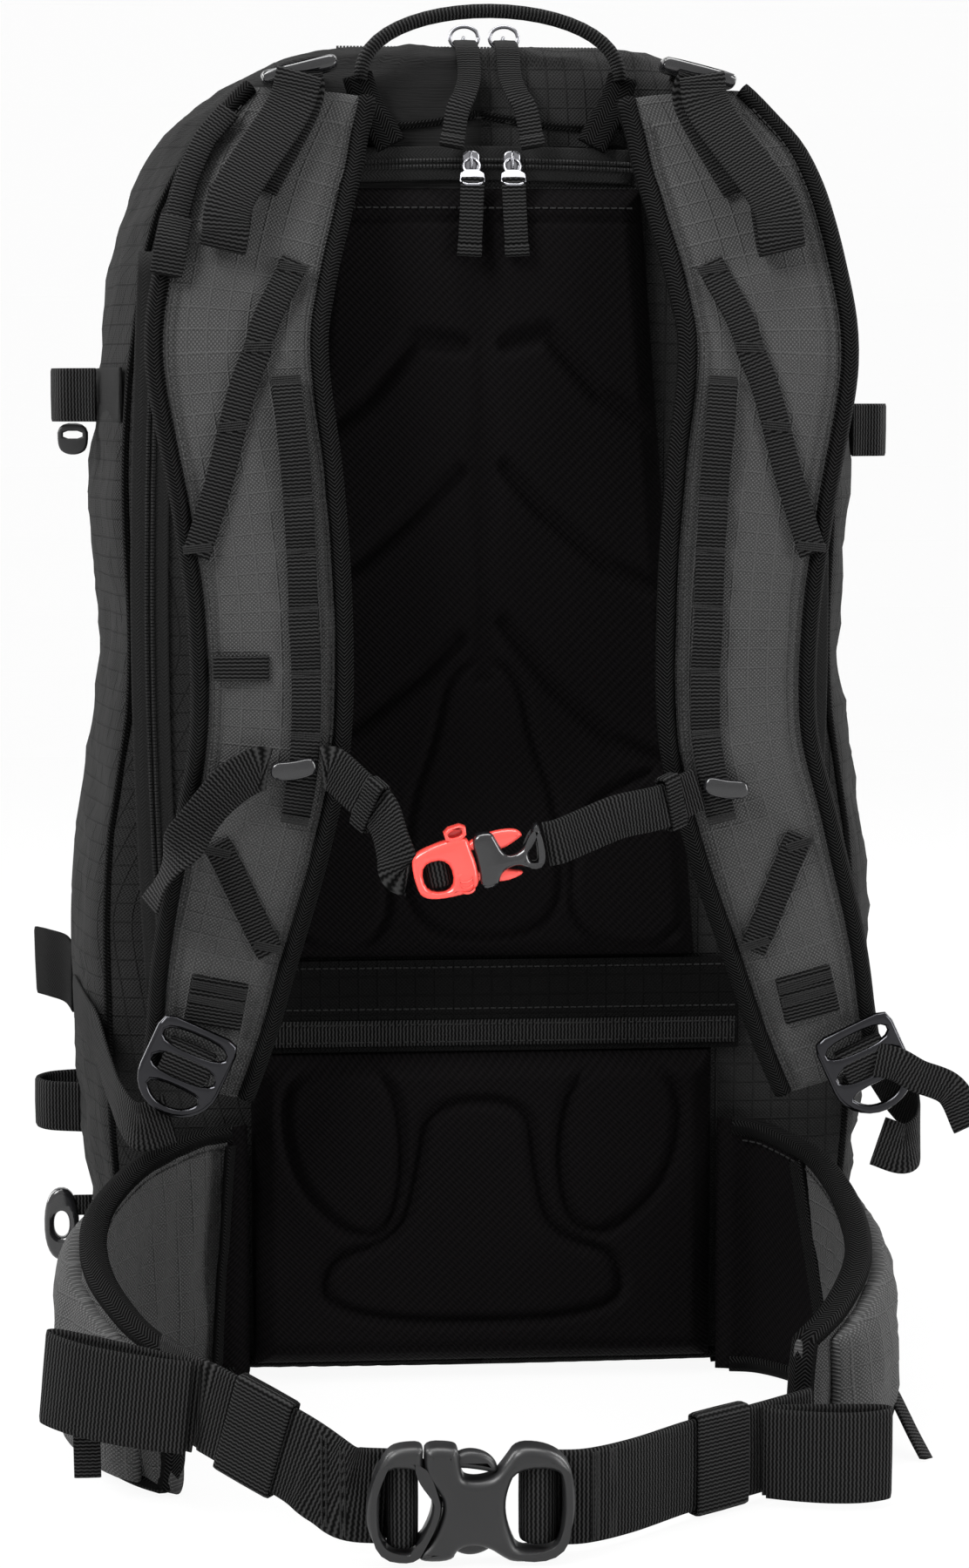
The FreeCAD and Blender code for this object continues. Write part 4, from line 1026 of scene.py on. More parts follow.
def strap_body(side, word):
    points, uvs = [], []
    for i in range(ALONG + 1):
        share = i / ALONG
        half = half_width(share) - 1.0
        front = on_strap(side, share, 0, 0)
        back = on_strap(side, share, 0, -STRAP)
        out = (front - back).normalized()
        way = (on_strap(side, share, 1, 0) - front).normalized()
        middle = (front + back) / 2
        for k in range(AROUND):
            a = 2 * math.pi * k / AROUND
            u, s = bent(math.cos(a), 0.55), math.sin(a)
            lift = bent(s, 0.6) * (0.62 + 0.38 * (1 - abs(u) ** 5))
            crease = 0.9 * noise.noise(Vector((u * 1.4, share * 16, side * 5)))
            points.append(middle + way * (u * half * MM)
                          + out * ((lift * (STRAP / 2 - 1.6) + crease * abs(s)) * MM))
            uvs.append((u * half * MM, share * STRAP_RUN))
    obj = add_piece(f"strap_foam_{word}", points, tube_faces(ALONG + 1, AROUND), uvs)
    turn_outward(obj)
    edge = AROUND // 2

    def held(j):
        row, k = divmod(j, AROUND)
        return row in (0, ALONG) or k in (0, 1, AROUND - 1, edge - 1, edge, edge + 1)

    swell(obj, held, cap=2.2)
    dress(obj, RIPSTOP_STRAP, slot="ripstop", replaces=[f"shoulder_strap_{word}"])
    return obj


for side, word in SIDES:
    strap_body(side, word)
print("straps", ALONG * AROUND, "points each")


# %% Tape bound over the strap edges
EDGE_STEPS = 90


def strap_edge(side, hand, inset, proud, first=0.0, last=1.0):
    """A line near one edge of a strap: hand -1 or 1 across, inset in mm."""
    line = []
    for i in range(EDGE_STEPS + 1):
        share = first + (last - first) * i / EDGE_STEPS
        line.append(on_strap(side, share, hand * (half_width(share) - inset), proud))
    return line


def across_strap(side, share):
    """The direction across a strap at one place."""
    return on_strap(side, share, 1, 0) - on_strap(side, share, 0, 0)


for side, word in SIDES:
    for hand, edge in ((-1, "a"), (1, "b")):
        tape(f"strap_binding_{word}_{edge}", strap_edge(side, hand, 3.4, -6.2),
             lambda i, s=side: across_strap(s, i / EDGE_STEPS),
             0.0088, 0.0135, BINDING, round_=True)
print("strap bindings", 2 * len(SIDES))

# %% [markdown]
# ## Webbing sewn on the straps
# A daisy chain runs down the inner half of each strap, tacked at intervals so that
# loops stand open between the tacks. Two slanting tapes cross the strap above it.
# The stitches of the bar tacks are a repeat, so Geometry Nodes set them out.


# %% Daisy chains and slanting tapes
def strap_tape(name, side, stops, width, thick=1.6, proud=0.9, arch=0.0, tacks=()):
    """Webbing down a strap through stops, each a share and mm across."""
    line = []
    steps = 60
    first, last = stops[0][0], stops[-1][0]
    for i in range(steps + 1):
        share = first + (last - first) * i / steps
        lift = 0.0
        for a, b in zip(tacks, tacks[1:]):
            if a <= share <= b:
                lift = arch * math.sin(math.pi * (share - a) / (b - a))
        line.append(on_strap(side, share, read(stops, share), proud + lift))
    return tape(name, line, across_strap(side, first), width * MM, thick * MM, WEBBING,
                replaces=["strap_trims"])


CHAIN_TACKS = (0.29, 0.405, 0.455, 0.51, 0.57, 0.63, 0.71)
CHAIN = ((0.29, 20), (0.395, 17), (0.52, 14), (0.64, 15), (0.71, 16))
for side, word in SIDES:
    inner = -side
    strap_tape(f"daisy_chain_{word}", side, [(share, inner * x) for share, x in CHAIN], 12.6,
               arch=2.4, tacks=CHAIN_TACKS)
    strap_tape(f"upper_slant_{word}", side,
               [(0.165, inner * 20), (0.26, inner * 9), (0.45, -inner * 29)], 12.0)
    strap_tape(f"lower_slant_{word}", side, [(0.75, -inner * 15), (0.845, inner * 19)], 12.0)
    strap_tape(f"foot_patch_{word}", side, [(0.88, 0), (0.93, 0)], 25.0)
rim = [(share, 5.5 - half_width(share)) for share in (0.035, 0.07, 0.11, 0.15, 0.20)]
strap_tape("outer_strip_left", -1, rim, 10.0, thick=2.4, proud=1.6)
strap_tape("outer_loop_left", -1, rim[-2:], 14.0, proud=2.4, arch=3.2, tacks=(0.15, 0.20))
strap_tape("card_loop", -1, [(0.555, -13), (0.58, -13.1)], 24.0, proud=1.2)
print("strap tapes, with", len(CHAIN_TACKS), "tacks on each chain")

# %% [markdown]
# ## Moulded plates: buckles, ladder locks and sliders
# Buckles and ladder locks are moulded in one go, so every edge is rounded. A flat
# filled curve gives exactly that: its first loop is the rim, the other loops become
# holes, and the curve's own bevel rounds every edge alike. The result is made a mesh
# in its own plane and then laid where the part sits.

# %% Rounded plates from outlines
BEVEL_STEPS = 3


def loop_curve(outlines, depth, bevel):
    """A filled flat curve with its edges rounded."""
    curve = bpy.data.curves.new("outline", "CURVE")
    curve.dimensions, curve.fill_mode = "2D", "BOTH"
    curve.extrude = (depth / 2 - bevel) * MM
    curve.bevel_depth, curve.bevel_resolution = bevel * MM, BEVEL_STEPS
    curve.offset = -bevel * MM
    for outline in outlines:
        spline = curve.splines.new("POLY")
        spline.points.add(len(outline) - 1)
        for point, (x, y) in zip(spline.points, outline):
            point.co = (x * MM, y * MM, 0, 1)
        spline.use_cyclic_u = True
    return curve


def plane(across, up, turn=0.0):
    """Two unit directions of a part's own plane, turned in that plane by degrees."""
    a, b = Vector(across).normalized(), Vector(up).normalized()
    c, s = math.cos(math.radians(turn)), math.sin(math.radians(turn))
    return a * c + b * s, b * c - a * s


FACING = ((1, 0, 0), (0, 0, 1))      # a plane that faces the wearer


def moulding(name, outlines, depth, bevel, centre, material, axes=FACING, turn=0.0,
             dome=0.0, slot=None, **kw):
    """A rounded plate: outlines in mm about centre, which is a place in mm too."""
    shape = link("outline", loop_curve(outlines, depth, bevel))
    graph = bpy.context.evaluated_depsgraph_get()
    graph.update()
    data = bpy.data.meshes.new_from_object(shape.evaluated_get(graph))
    bpy.data.objects.remove(shape)
    across, up = plane(*axes, turn)
    out = across.cross(up)
    middle = at(*centre)
    mesh = bmesh.new()
    mesh.from_mesh(data)
    bmesh.ops.remove_doubles(mesh, verts=mesh.verts, dist=1e-6)
    reach = max(abs(v.co.x) for v in mesh.verts)
    for vertex in mesh.verts:
        x, y, z = vertex.co
        lift = dome * MM * (1 - (x / reach) ** 2)
        vertex.co = middle + across * x + up * y + out * (z + lift)
    mesh.to_mesh(data)
    mesh.free()
    data.name = name
    data.polygons.foreach_set("use_smooth", [True] * len(data.polygons))
    data.set_sharp_from_angle(angle=math.radians(40))
    return dress(link(name, data), material, slot=slot or SLOTS[material], **kw)


def ring(half_x, half_y, power):
    """A rounded oblong, as an outline of 28 places."""
    turns = [2 * math.pi * (i + 0.5) / 28 for i in range(28)]
    return [(bent(math.cos(a), 2 / power) * half_x, bent(math.sin(a), 2 / power) * half_y)
            for a in turns]


print("plates can be made in", len(SLOTS), "finishes")

# %% [markdown]
# ## Hip buckle
# A side release buckle has a mouth piece and a pronged piece. The prongs bow out into
# two cut-outs, where fingers squeeze them. Webbing wraps a bar at each end, so each
# end has a tall slot. The parting line between the halves curves like a bracket.

# %% Hip buckle halves
HIP_AT = (-21.0, -240.0, 24.2)


def hip_part(name, outlines, depth, bevel, **kw):
    """A part of the hip buckle."""
    moulding(name, outlines, depth, bevel, HIP_AT, SATIN_BLACK, **kw)


MOUTH = [(-20.1, -22.2), (-19.8, -18.4), (-15, -14.5), (-11, -5.2), (-10.4, -0.2), (-11.2, 3.4),
         (-17.6, 12), (-18, 18), (-17.6, 23.2)]
hip_mouth = rounded([(-17.4, 23.3), (-6.2, 22.8), (-4.6, 20.5), (-3.4, 11.6), (-1.6, 9.6),
                     (3.4, 9.2), (9.1, 10.8), (13.6, 16.6), (17.6, 22.4), (27.4, 22.0),
                     (35.2, 18.4), (39.0, 12), (40.4, 0.5), (39.3, -9.5), (36.3, -18),
                     (32.4, -21.0), (26.3, -22.8), (16.3, -23.3), (12, -21), (7, -17.4),
                     (0.6, -16.2), (-5.2, -17.6), (-7.2, -22.3)] + MOUTH[:-1], 2)
hip_mouth_slot = rounded([(17.4, 13.4), (34.2, 13.6), (35.4, 6), (35.6, -6), (33.4, -18.4),
                          (18.6, -19.4), (15.2, -12.4), (13.0, -2.4), (13.9, 5)], 2)
hip_part("hip_mouth_piece", [hip_mouth, hip_mouth_slot], 13.4, 3.4,
         replaces=["hip_buckle_female"])
hip_prong = rounded([(x - 0.5, z) for x, z in MOUTH] +
                    [(-25.9, 23.2), (-31.4, 21.6), (-35.4, 15), (-39.4, 4), (-40.4, -6),
                     (-38.2, -13), (-34.6, -19.2), (-27.3, -21.9)], 2)
hip_prong_slot = rounded([(-34.0, 15.0), (-20.3, 14.4), (-17.4, 9.5), (-15.4, 3.0),
                          (-14.6, -0.6), (-16.0, -6.6), (-20.4, -15.2), (-23.0, -19.6),
                          (-34.4, -17.4), (-35.6, -1)], 2)
hip_part("hip_prong_piece", [hip_prong, hip_prong_slot], 12.0, 3.0, body="hip_male",
         replaces=["hip_buckle_male"])
hip_part("hip_tongue", [rounded([(-12, 2.4), (-12, -2.4), (8.2, -2.0), (8.2, 2.0)], 1)], 6.0,
         1.0, body="hip_male")
for sign, word in ((1, "upper"), (-1, "lower")):
    arm = rounded([(-16, 13.2), (-5, 14.2), (4, 13.0), (9.6, 11.4), (10.6, 14.2), (7.4, 18.4),
                   (2.0, 20.6), (-3.2, 20.4), (-8, 17.6), (-16, 16.8)], 2)
    arm = [(x, sign * z) for x, z in arm]
    hip_part(f"hip_spring_{word}", [arm], 7.4, 2.2, body=f"hip_arm_{word}",
             replaces=[f"hip_latch_arm_{word}"])
print("hip buckle at", HIP_AT)


# %% Webbing wrapped round the buckle bars
def wrap(name, centre, left, right, height, bulge, axes=FACING, turn=0.0, deep=5.0, **kw):
    """Webbing that comes up through a slot, over a bar and down again."""
    across, up = plane(*axes, turn)
    out = across.cross(up)
    middle, half = (left + right) / 2, (right - left) / 2
    line = []
    for i in range(17):
        a = math.pi * i / 16
        line.append(at(*centre) + across * ((middle - half * math.cos(a)) * MM)
                    + out * ((bulge * math.sin(a) ** 0.7 - deep * (1 - math.sin(a))) * MM))
    return tape(name, line, up, height * MM, 1.6 * MM, WEBBING, **kw)


wrap("hip_wrap_left", HIP_AT, -31.6, -20.6, 34.0, 3.6, body="hip_male")
wrap("hip_wrap_right", HIP_AT, 19.6, 33.0, 33.0, 3.6)

# %% [markdown]
# ## Sternum buckle
# The small buckle hangs a little askew. Its bright half carries a whistle along its
# upper edge and chevrons for the thumb, and its two prongs show red against black.

# %% Sternum buckle halves
CHEST_AT = (-8.0, -97.0, 252.0)
CHEST_TILT = 12.0


def chest_part(name, outlines, depth, bevel, material=CORAL, back=0.0, **kw):
    """A part of the small buckle, moved back by some mm."""
    x, y, z = CHEST_AT
    moulding(name, outlines, depth, bevel, (x, y + back, z), material, turn=CHEST_TILT, **kw)


bright = rounded([(-28.2, 5.0), (-25.6, 8.6), (-12.4, 11.0), (-3.0, 11.0), (-2.6, 6.0),
                  (-1.2, -2.3), (-2.4, -12.4), (-16.0, -13.2), (-26.6, -11.4), (-28.3, -4.7)], 2)
bright_slot = rounded([(-24.6, 3.6), (-12.2, 3.2), (-12.0, -10.2), (-24.6, -9.4)], 2)
chest_part("chest_prong_piece", [bright, bright_slot], 9.6, 2.3, body="sternum_male",
           replaces=["sternum_buckle_male"])
whistle_box = [(-12.0, 9.6), (-3.2, 10.2), (-2.6, 16.4), (-12.4, 15.6)]
whistle_mouth = [(-10.6, 11.4), (-4.6, 11.8), (-4.4, 14.9), (-10.8, 14.3)]
whistle_floor = [(-11.4, 10.8), (-3.8, 11.2), (-3.8, 15.4), (-11.6, 14.8)]
chest_part("whistle", [rounded(whistle_box, 1), rounded(whistle_mouth, 1)], 8.6, 0.7,
           body="sternum_male")
chest_part("whistle_floor", [rounded(whistle_floor, 1)], 3.0, 0.5, back=1.5,
           body="sternum_male")
for i in range(3):
    low = -11.0 + 2.3 * i
    arc = [(-9.6 + 3.0 * math.cos(a) + 2.4, low + 1.9 * math.sin(a))
           for a in (math.pi * (1 + k / 8) for k in range(9))]
    arc += [(x, z + 0.8) for x, z in arc[::-1]]
    chest_part(f"thumb_ridge_{i}", [arc], 0.9, 0.3, back=-4.9, body="sternum_male")
black = rounded([(-2.0, 10.8), (7.6, 10.8), (9.0, 6.4), (10.8, 0.4), (14.0, -1.2), (19.2, 0.8),
                 (23.4, 5.4), (25.6, 10.2), (28.0, 9.2), (27.6, -2.0), (26.0, -9.2),
                 (19.8, -8.2), (15.6, -5.4), (8.2, -7.0), (5.8, -12.6), (-2.0, -12.8),
                 (-0.6, -2.3)], 2)
black_slot = rounded([(20.6, -1.6), (24.6, 4.4), (25.4, 4.2), (25.2, -6.0), (21.4, -6.4)], 2)
chest_part("chest_mouth_piece", [black, black_slot], 9.6, 2.4, GLOSS_BLACK,
           replaces=["sternum_buckle_female"])
for sign, word in ((1, "upper"), (-1, "lower")):
    arm = [(-4, 4.4), (7.4, 3.4), (10.4, 2.0), (19.0, 5.4), (20.2, 6.6), (17.6, 9.6), (8.2, 10.6),
           (-4, 8.4)]
    if sign < 0:
        arm = [(-4, 4.4), (7.4, 4.6), (12.0, 7.0), (17.6, 8.6), (15.8, 10.6), (7.6, 11.6),
               (-4, 8.4)]
    arm = [(x, sign * z) for x, z in rounded(arm, 2)]
    chest_part(f"chest_spring_{word}", [arm], 6.4, 1.9, body=f"sternum_arm_{word}",
               replaces=[f"sternum_latch_arm_{word}"])
wrap("chest_wrap_left", CHEST_AT, -22.6, -13.4, 15.6, 2.6, turn=CHEST_TILT, deep=3.5,
     body="sternum_male")
print("sternum buckle at", CHEST_AT)

# %% [markdown]
# ## Ladder locks and lifter buckles
# The foot of each strap ends in a dark chrome ladder lock: a rounded frame with a
# round foot and two bars. The load lifter buckles are glossy and lie nearly flat on
# the crown, so they are seen from their edge.

# %% Ladder locks
def lock_outline(wide, high):
    half, top = wide / 2, high / 2
    foot = [(-half * math.cos(a), -top * 0.18 - top * 0.82 * math.sin(a))
            for a in (math.pi * k / 14 for k in range(15))]
    return foot + [(half, top - 6), (half - 1.5, top - 1.5), (half - 6, top),
                   (-half + 6, top), (-half + 1.5, top - 1.5), (-half, top - 6)]


LOCK_AT = {}
LOCK_TURN = 25.0
for side, word, out, drop in ((-1, "left", 9, 2), (1, "right", 19, 5)):
    x, y, z = in_mm(on_strap(side, 0.965, 0, 1.8 + 1.6 + 2.25))
    LOCK_AT[side] = (x + side * out, y - 1.5, z - drop)
    holes = [rounded(h, 2) for h in (
        [(-14.4, 8.6), (14.4, 8.6), (14.6, 16.8), (-14.6, 16.8)],
        [(-14.6, -3.6), (14.6, -3.6), (14.4, 4.6), (-14.4, 4.6)],
        [(-13.8, -7.8), (-8.2, -15.4), (0, -17.4), (8.2, -15.4), (13.8, -7.8)])]
    moulding(f"ladder_lock_{word}", [lock_outline(37.0, 42.0)] + holes, 4.4, 1.9, LOCK_AT[side],
             DARK_CHROME, turn=side * LOCK_TURN, body=f"adjuster_{word}",
             replaces=[f"adjuster_{word}"])
print("ladder locks at", {k: tuple(round(c) for c in v) for k, v in LOCK_AT.items()})

# %% Load lifter buckles
LIFT_AT = {-1: (-80.0, -9.0, 585.5), 1: (94.0, -9.0, 585.5)}
for side, word in SIDES:
    tilt = math.radians(14.0)
    flat = ((math.cos(tilt), 0, -side * math.sin(tilt)), (0, 1, 0))
    rim = rounded([(-17, -6), (-15, -10), (15, -10), (17, -6), (17, 6), (15, 10), (-15, 10),
                   (-17, 6)], 2)
    slots = [rounded([(-11.5, y - 2.1), (11.5, y - 2.1), (11.5, y + 2.1), (-11.5, y + 2.1)], 2)
             for y in (-4.6, 4.6)]
    moulding(f"lifter_lock_{word}", [rim] + slots, 6.0, 2.2, LIFT_AT[side], GLOSS_BLACK,
             axes=flat, body=f"lifter_{word}", replaces=[f"lifter_buckle_{word}"])
print("lifter buckles", len(LIFT_AT))

# %% [markdown]
# ## Hip belt
# The two padded wings sweep forward from the lumbar pad and carry the belt. Each is a
# curved slab of foam, cloth outside and knit inside, bound with herringbone tape all
# round. Drawing a closed ring of points at each place along the wing's plan gives
# full control of its thickness and of the folds in its cloth.

# %% Wings of the hip belt
WING_PLAN = {
    -1: [(-107, -9), (-130, -14), (-155, -38), (-171, -75), (-169, -112), (-153, -142),
         (-135, -160)],
    1: [(107, -9), (128, -14), (147, -38), (155, -75), (153, -112), (137, -142), (119, -160)]}
WING_TOPS = (1.00, 0.98, 0.92, 0.82, 0.70, 0.58, 0.50)
WING_HIGH = 118.0


def wing_line(side):
    """Plan places of a wing in mm, each with its height and outward direction."""
    plan = smooth_path([Vector((x, y, 0)) for x, y in WING_PLAN[side]], 10)
    last = len(plan) - 1
    rows = []
    for i, place in enumerate(plan):
        along = (plan[min(i + 1, last)] - plan[max(i - 1, 0)]).normalized()
        step = i / 10
        k = min(int(step), len(WING_TOPS) - 2)
        top = WING_TOPS[k] + (WING_TOPS[k + 1] - WING_TOPS[k]) * (step - k)
        outward = Vector((along.y, -along.x, 0)) * -side
        rows.append((place, WING_HIGH * top, outward))
    return rows


WING_RING = 44


def seam_place(side, share):
    """How far along the wing the seam between foam and cloth lies, by height."""
    return 7 - 4 * share if side < 0 else 30 - 13 * share


def wing_piece(name, side, first, last, low, high, thick, offset, folds, two_faced):
    """A padded slab along part of a wing: low and high are shares of its height."""
    rows = wing_line(side)[first:last + 1]
    points, uvs, faces = [], [], []
    run = 0.0
    for i, (place, tall, outward) in enumerate(rows):
        run += (place - rows[i - 1][0]).length if i else 0.0
        end = min(1.0, 0.35 + min(i, len(rows) - 1 - i) * 0.22)
        middle, half = tall * (low + high) / 2, tall * (high - low) / 2
        for k in range(WING_RING):
            a = 2 * math.pi * k / WING_RING
            c, s = math.cos(a), math.sin(a)
            up = bent(s, 0.7) * half
            depth = bent(c, 0.5) * thick / 2 * end
            height = 1 + middle + up
            fold = noise.noise(Vector((run / 26.0, height / 60.0 + run / 50.0, side * 3.0)))
            fine = noise.noise(Vector((run / 9.0, height / 34.0, side * 7.0)))
            crease = folds * ((1 - 2 * abs(fold)) + 0.45 * (1 - 2 * abs(fine)))
            inner = 0.9 if two_faced and i > seam_place(side, height / tall) else 0.15
            depth += crease * (c if c > 0 else inner * c)
            spot = place + outward * (offset + depth)
            points.append(at(spot.x, spot.y, height))
            uvs.append((run * MM, height * MM))
    count = len(rows)
    for i in range(count - 1):
        for k in range(WING_RING):
            m = (k + 1) % WING_RING
            faces.append((i * WING_RING + k, (i + 1) * WING_RING + k, (i + 1) * WING_RING + m,
                          i * WING_RING + m))
    faces.append(tuple(range(WING_RING)))
    faces.append(tuple((count - 1) * WING_RING + k for k in range(WING_RING - 1, -1, -1)))
    obj = add_piece(name, points, faces, uvs)
    turn_outward(obj)
    dress(obj, RIPSTOP_STRAP, slot="ripstop")
    if two_faced:
        obj.data.materials.append(FOAM_KNIT)
        for face in obj.data.polygons:
            i = min(face.index // WING_RING, count - 1)
            place, tall, outward = rows[i]
            seam = seam_place(side, face.center.z / MM / tall)
            if face.normal.dot(outward) < -0.15 and i < seam:
                face.material_index = 1
    return obj


for side, word in SIDES:
    folds = 2.7 if side < 0 else 1.6
    wing = wing_piece(f"wing_foam_{word}", side, 0, 60, 0.0, 1.0, 9.4, 0.0, folds, True)
    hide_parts(f"hip_wing_{word}")
    pocket = wing_piece(f"wing_pocket_{word}", side, 12, 54, 0.06, 0.90, 13.0, 7.5, 3.4, False)
print("wings", 2, "with a soft pocket outside each")


# %% Tape bound round each wing
def wing_edge(side, first, last, share, inset, offset=0.0):
    """A line along part of a wing, at a share of its height."""
    line = []
    for place, tall, outward in wing_line(side)[first:last + 1]:
        spot = place + outward * offset
        line.append(at(spot.x, spot.y, 1 + tall * share + inset))
    return line


for side, word in SIDES:
    rim = wing_edge(side, 2, 60, 1.0, -3.0) + wing_edge(side, 2, 60, 0.0, 3.2)[::-1]
    rim = averaged(rim, 2)
    outs = [row[2] for row in wing_line(side)[2:]]
    outs += outs[::-1]
    tape(f"wing_binding_{word}", rim, lambda i, o=outs: o[i], 0.0122, 0.0088, BINDING,
         round_=True)
    seam = []
    for k in range(25):
        share = 1.0 - k / 24
        place, tall, outward = wing_line(side)[int(round(seam_place(side, share)))]
        spot = place - outward * 5.6
        seam.append(at(spot.x, spot.y, 1 + tall * share))
    tape(f"wing_seam_{word}", averaged(seam, 3), Vector((side * 0.35, -1, 0)), 0.0110, 0.0030,
         BINDING)
    coil = wing_edge(side, 14, 46, 0.62, 0.0, 13.6)
    tape(f"wing_zip_{word}", coil, Vector((0, 0, 1)), 0.0062, 0.0026, COIL_GREY, round_=True)
print("wing binding", len(rim), "places")


# %% Belt webbing and its folded tails
def webbing(name, points, across, width, thick=1.6, steps=8, **kw):
    """Smooth webbing through places in mm."""
    line = smooth_path(places(points), steps)
    return tape(name, line, Vector(across), width * MM, thick * MM, WEBBING, **kw)


BELT = {-1: [(-52.0, -232.4, 24.2), (-66.8, -231.6, 25.4), (-76, -227.5, 29.6),
             (-88.1, -220.5, 36.6), (-117.5, -200.5, 47.8), (-126, -192, 50.4),
             (-140, -166, 51.2)],
        1: [(10.0, -232.4, 22.2), (24.8, -231.6, 22.2), (44, -221, 22.2), (69.2, -200.6, 22.2),
            (94.4, -184.4, 22.2), (108, -176, 22.6), (124, -166, 23.2)]}
BELT_WIDE, DOUBLED = 38.0, 3.4
belt = webbing("belt_left", BELT[-1], (0, 0, 1), BELT_WIDE, DOUBLED, body=None,
               replaces=["hip_webbing_left"])
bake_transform(belt)
webbing("belt_right", BELT[1], (0, 0, 1), BELT_WIDE, DOUBLED, replaces=["hip_webbing_right"])


def folded_tail(name, end, side, length, turn_in, climb):
    """The tail of the belt, folded back on itself as a slim loop."""
    along = Vector((side, turn_in, 0)).normalized()
    out = Vector((side * along.y, -side * along.x, 0))
    start = Vector(end) + out * 3.2
    lean = math.radians(climb)
    shape = ((0.02, 0.0), (0.3, 0.4), (0.6, 1.2), (0.92, 3.0), (1.0, 6.0), (0.95, 9.5),
             (0.75, 12.4), (0.5, 11.6), (0.25, 8.0), (0.04, 3.4))
    line = []
    for share, lift in shape:
        step = along * (length * share)
        rise = step.length * math.sin(lean)
        line.append(start + step * math.cos(lean) + out * lift + Vector((0, 0, rise)))
    up = (-side * math.sin(lean) * abs(along.x), 0, math.cos(lean))
    return webbing(name, line, up, BELT_WIDE, 1.7, steps=6, replaces=["hip_webbing_right"])


folded_tail("belt_tail_left", (-123.8, -196.0, 50.2), -1, 66.0, 0.50, 6.0)
folded_tail("belt_tail_right", (99.8, -181.0, 22.2), 1, 52.0, 0.02, 0.0)
webbing("belt_tab_left", [(-171, -172, 46), (-171, -171, 30), (-171, -168, 12)], (1, 0, 0), 11.0)
print("belt webbing", [round((Vector(BELT[s][-1]) - Vector(BELT[s][0])).length) for s in BELT])


# %% Keepers
KEPT_THICK = 3.6      # mm of webbing inside a keeper


def sleeve(name, a, b, width, length, body=PACK):
    """A flat band round webbing, half way between two of its places."""
    a, b = Vector(a), Vector(b)
    along = (b - a).normalized()
    middle = (a + b) / 2
    upright = Vector((0, 0, 1))
    rise = (upright - along * along.dot(upright)).normalized()
    out = along.cross(rise)
    half_w, half_t, corner = width / 2 + 1.3, KEPT_THICK / 2 + 1.2, 1.4
    line = []
    for sx, sy, first in ((1, 1, 0), (-1, 1, 90), (-1, -1, 180), (1, -1, 270)):
        for step in range(5):
            turn = math.radians(first + 22.5 * step)
            line.append((sx * (half_w - corner) + corner * math.cos(turn),
                         sy * (half_t - corner) + corner * math.sin(turn)))
    spread = []
    for (x0, y0), (x1, y1) in zip(line, line[1:] + line[:1]):
        spread += [(x0 + (x1 - x0) * k / 3, y0 + (y1 - y0) * k / 3) for k in range(3)]
    path = [at(*(middle + rise * x + out * y)) for x, y in spread]
    return tape(name, path, along, length * MM, 1.6 * MM, WEBBING, closed=True, body=body,
                replaces=["webbing_keepers"])


keeper = sleeve("belt_keeper_left", *BELT[-1][3:5], BELT_WIDE, 27.0, body=None)
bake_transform(keeper)
sleeve("belt_keeper_right", *BELT[1][3:5], BELT_WIDE, 27.0)
print("belt keepers round", BELT_WIDE, "mm webbing")

# %% [markdown]
# ## Sternum strap
# Narrow webbing joins the two straps through the bright buckle. It is doubled near
# the clips, and its loose tail drops behind the left-hand strap's outer edge.

# %% Sternum webbing, clips and keepers
CHEST_LEFT = [(-73, -64.7, 286.7), (-68, -65.7, 286.7), (-58, -74.8, 278.5), (-48.2, -84.6, 270),
              (-43.5, -93.5, 256), (-41.0, -96.4, 247.4), (-37.1, -97, 246)]
CHEST_RIGHT = [(20.2, -97, 258), (26, -97, 259.2), (36.2, -92, 262.5), (52, -87, 268.0),
               (70.7, -78.6, 270.8), (81.9, -69.5, 274.3), (89.2, -64.5, 277)]
chest = webbing("chest_webbing_left", CHEST_LEFT, (0.25, 0, 1), 19.0, 3.2, body=None,
                replaces=["sternum_webbing_left"])
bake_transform(chest)
webbing("chest_webbing_right", CHEST_RIGHT, (-0.2, 0, 1), 19.0, 3.2,
        replaces=["sternum_webbing_right"])
webbing("chest_tail", [(-96, -66, 287), (-101, -66.5, 287), (-115, -68, 278), (-131, -70, 258),
                       (-147, -68, 229)], (0.5, 0, 1), 19.0, replaces=["sternum_tail"])
keeper = sleeve("chest_keeper_left", (-58, -74.8, 277), (-48.2, -84.6, 269.3), 20.0, 9.0,
                body=None)
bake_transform(keeper)
sleeve("chest_keeper_right", (70.7, -78.6, 270.8), (81.9, -69.5, 274.3), 20.0, 9.0)
for side, word, spot in ((-1, "left", (-85.1, -64.7, 286.7)), (1, "right", (101.3, -64.5, 277))):
    rim = rounded([(-10, 1.5), (-8, 4.4), (0, 3.6), (8, 4.4), (10, 1.5), (10, -2.2), (5, -4.4),
                   (-5, -4.4), (-10, -2.2)], 2)
    moulding(f"chest_clip_{word}", [rim], 5.0, 1.8, spot, GLOSS_BLACK, turn=-side * 8.0,
             replaces=["sternum_clips"])
print("sternum webbing joins", CHEST_LEFT[-1], "and", CHEST_RIGHT[0])

# %% [markdown]
# ## Webbing at the shoulders and at the strap feet
# Load lifters pull the top of each strap towards the bag. Their tails are folded over
# and sewn into a loop, so that a glove can pull them. At the foot of each strap,
# webbing runs from the ladder lock back to the side of the bag.

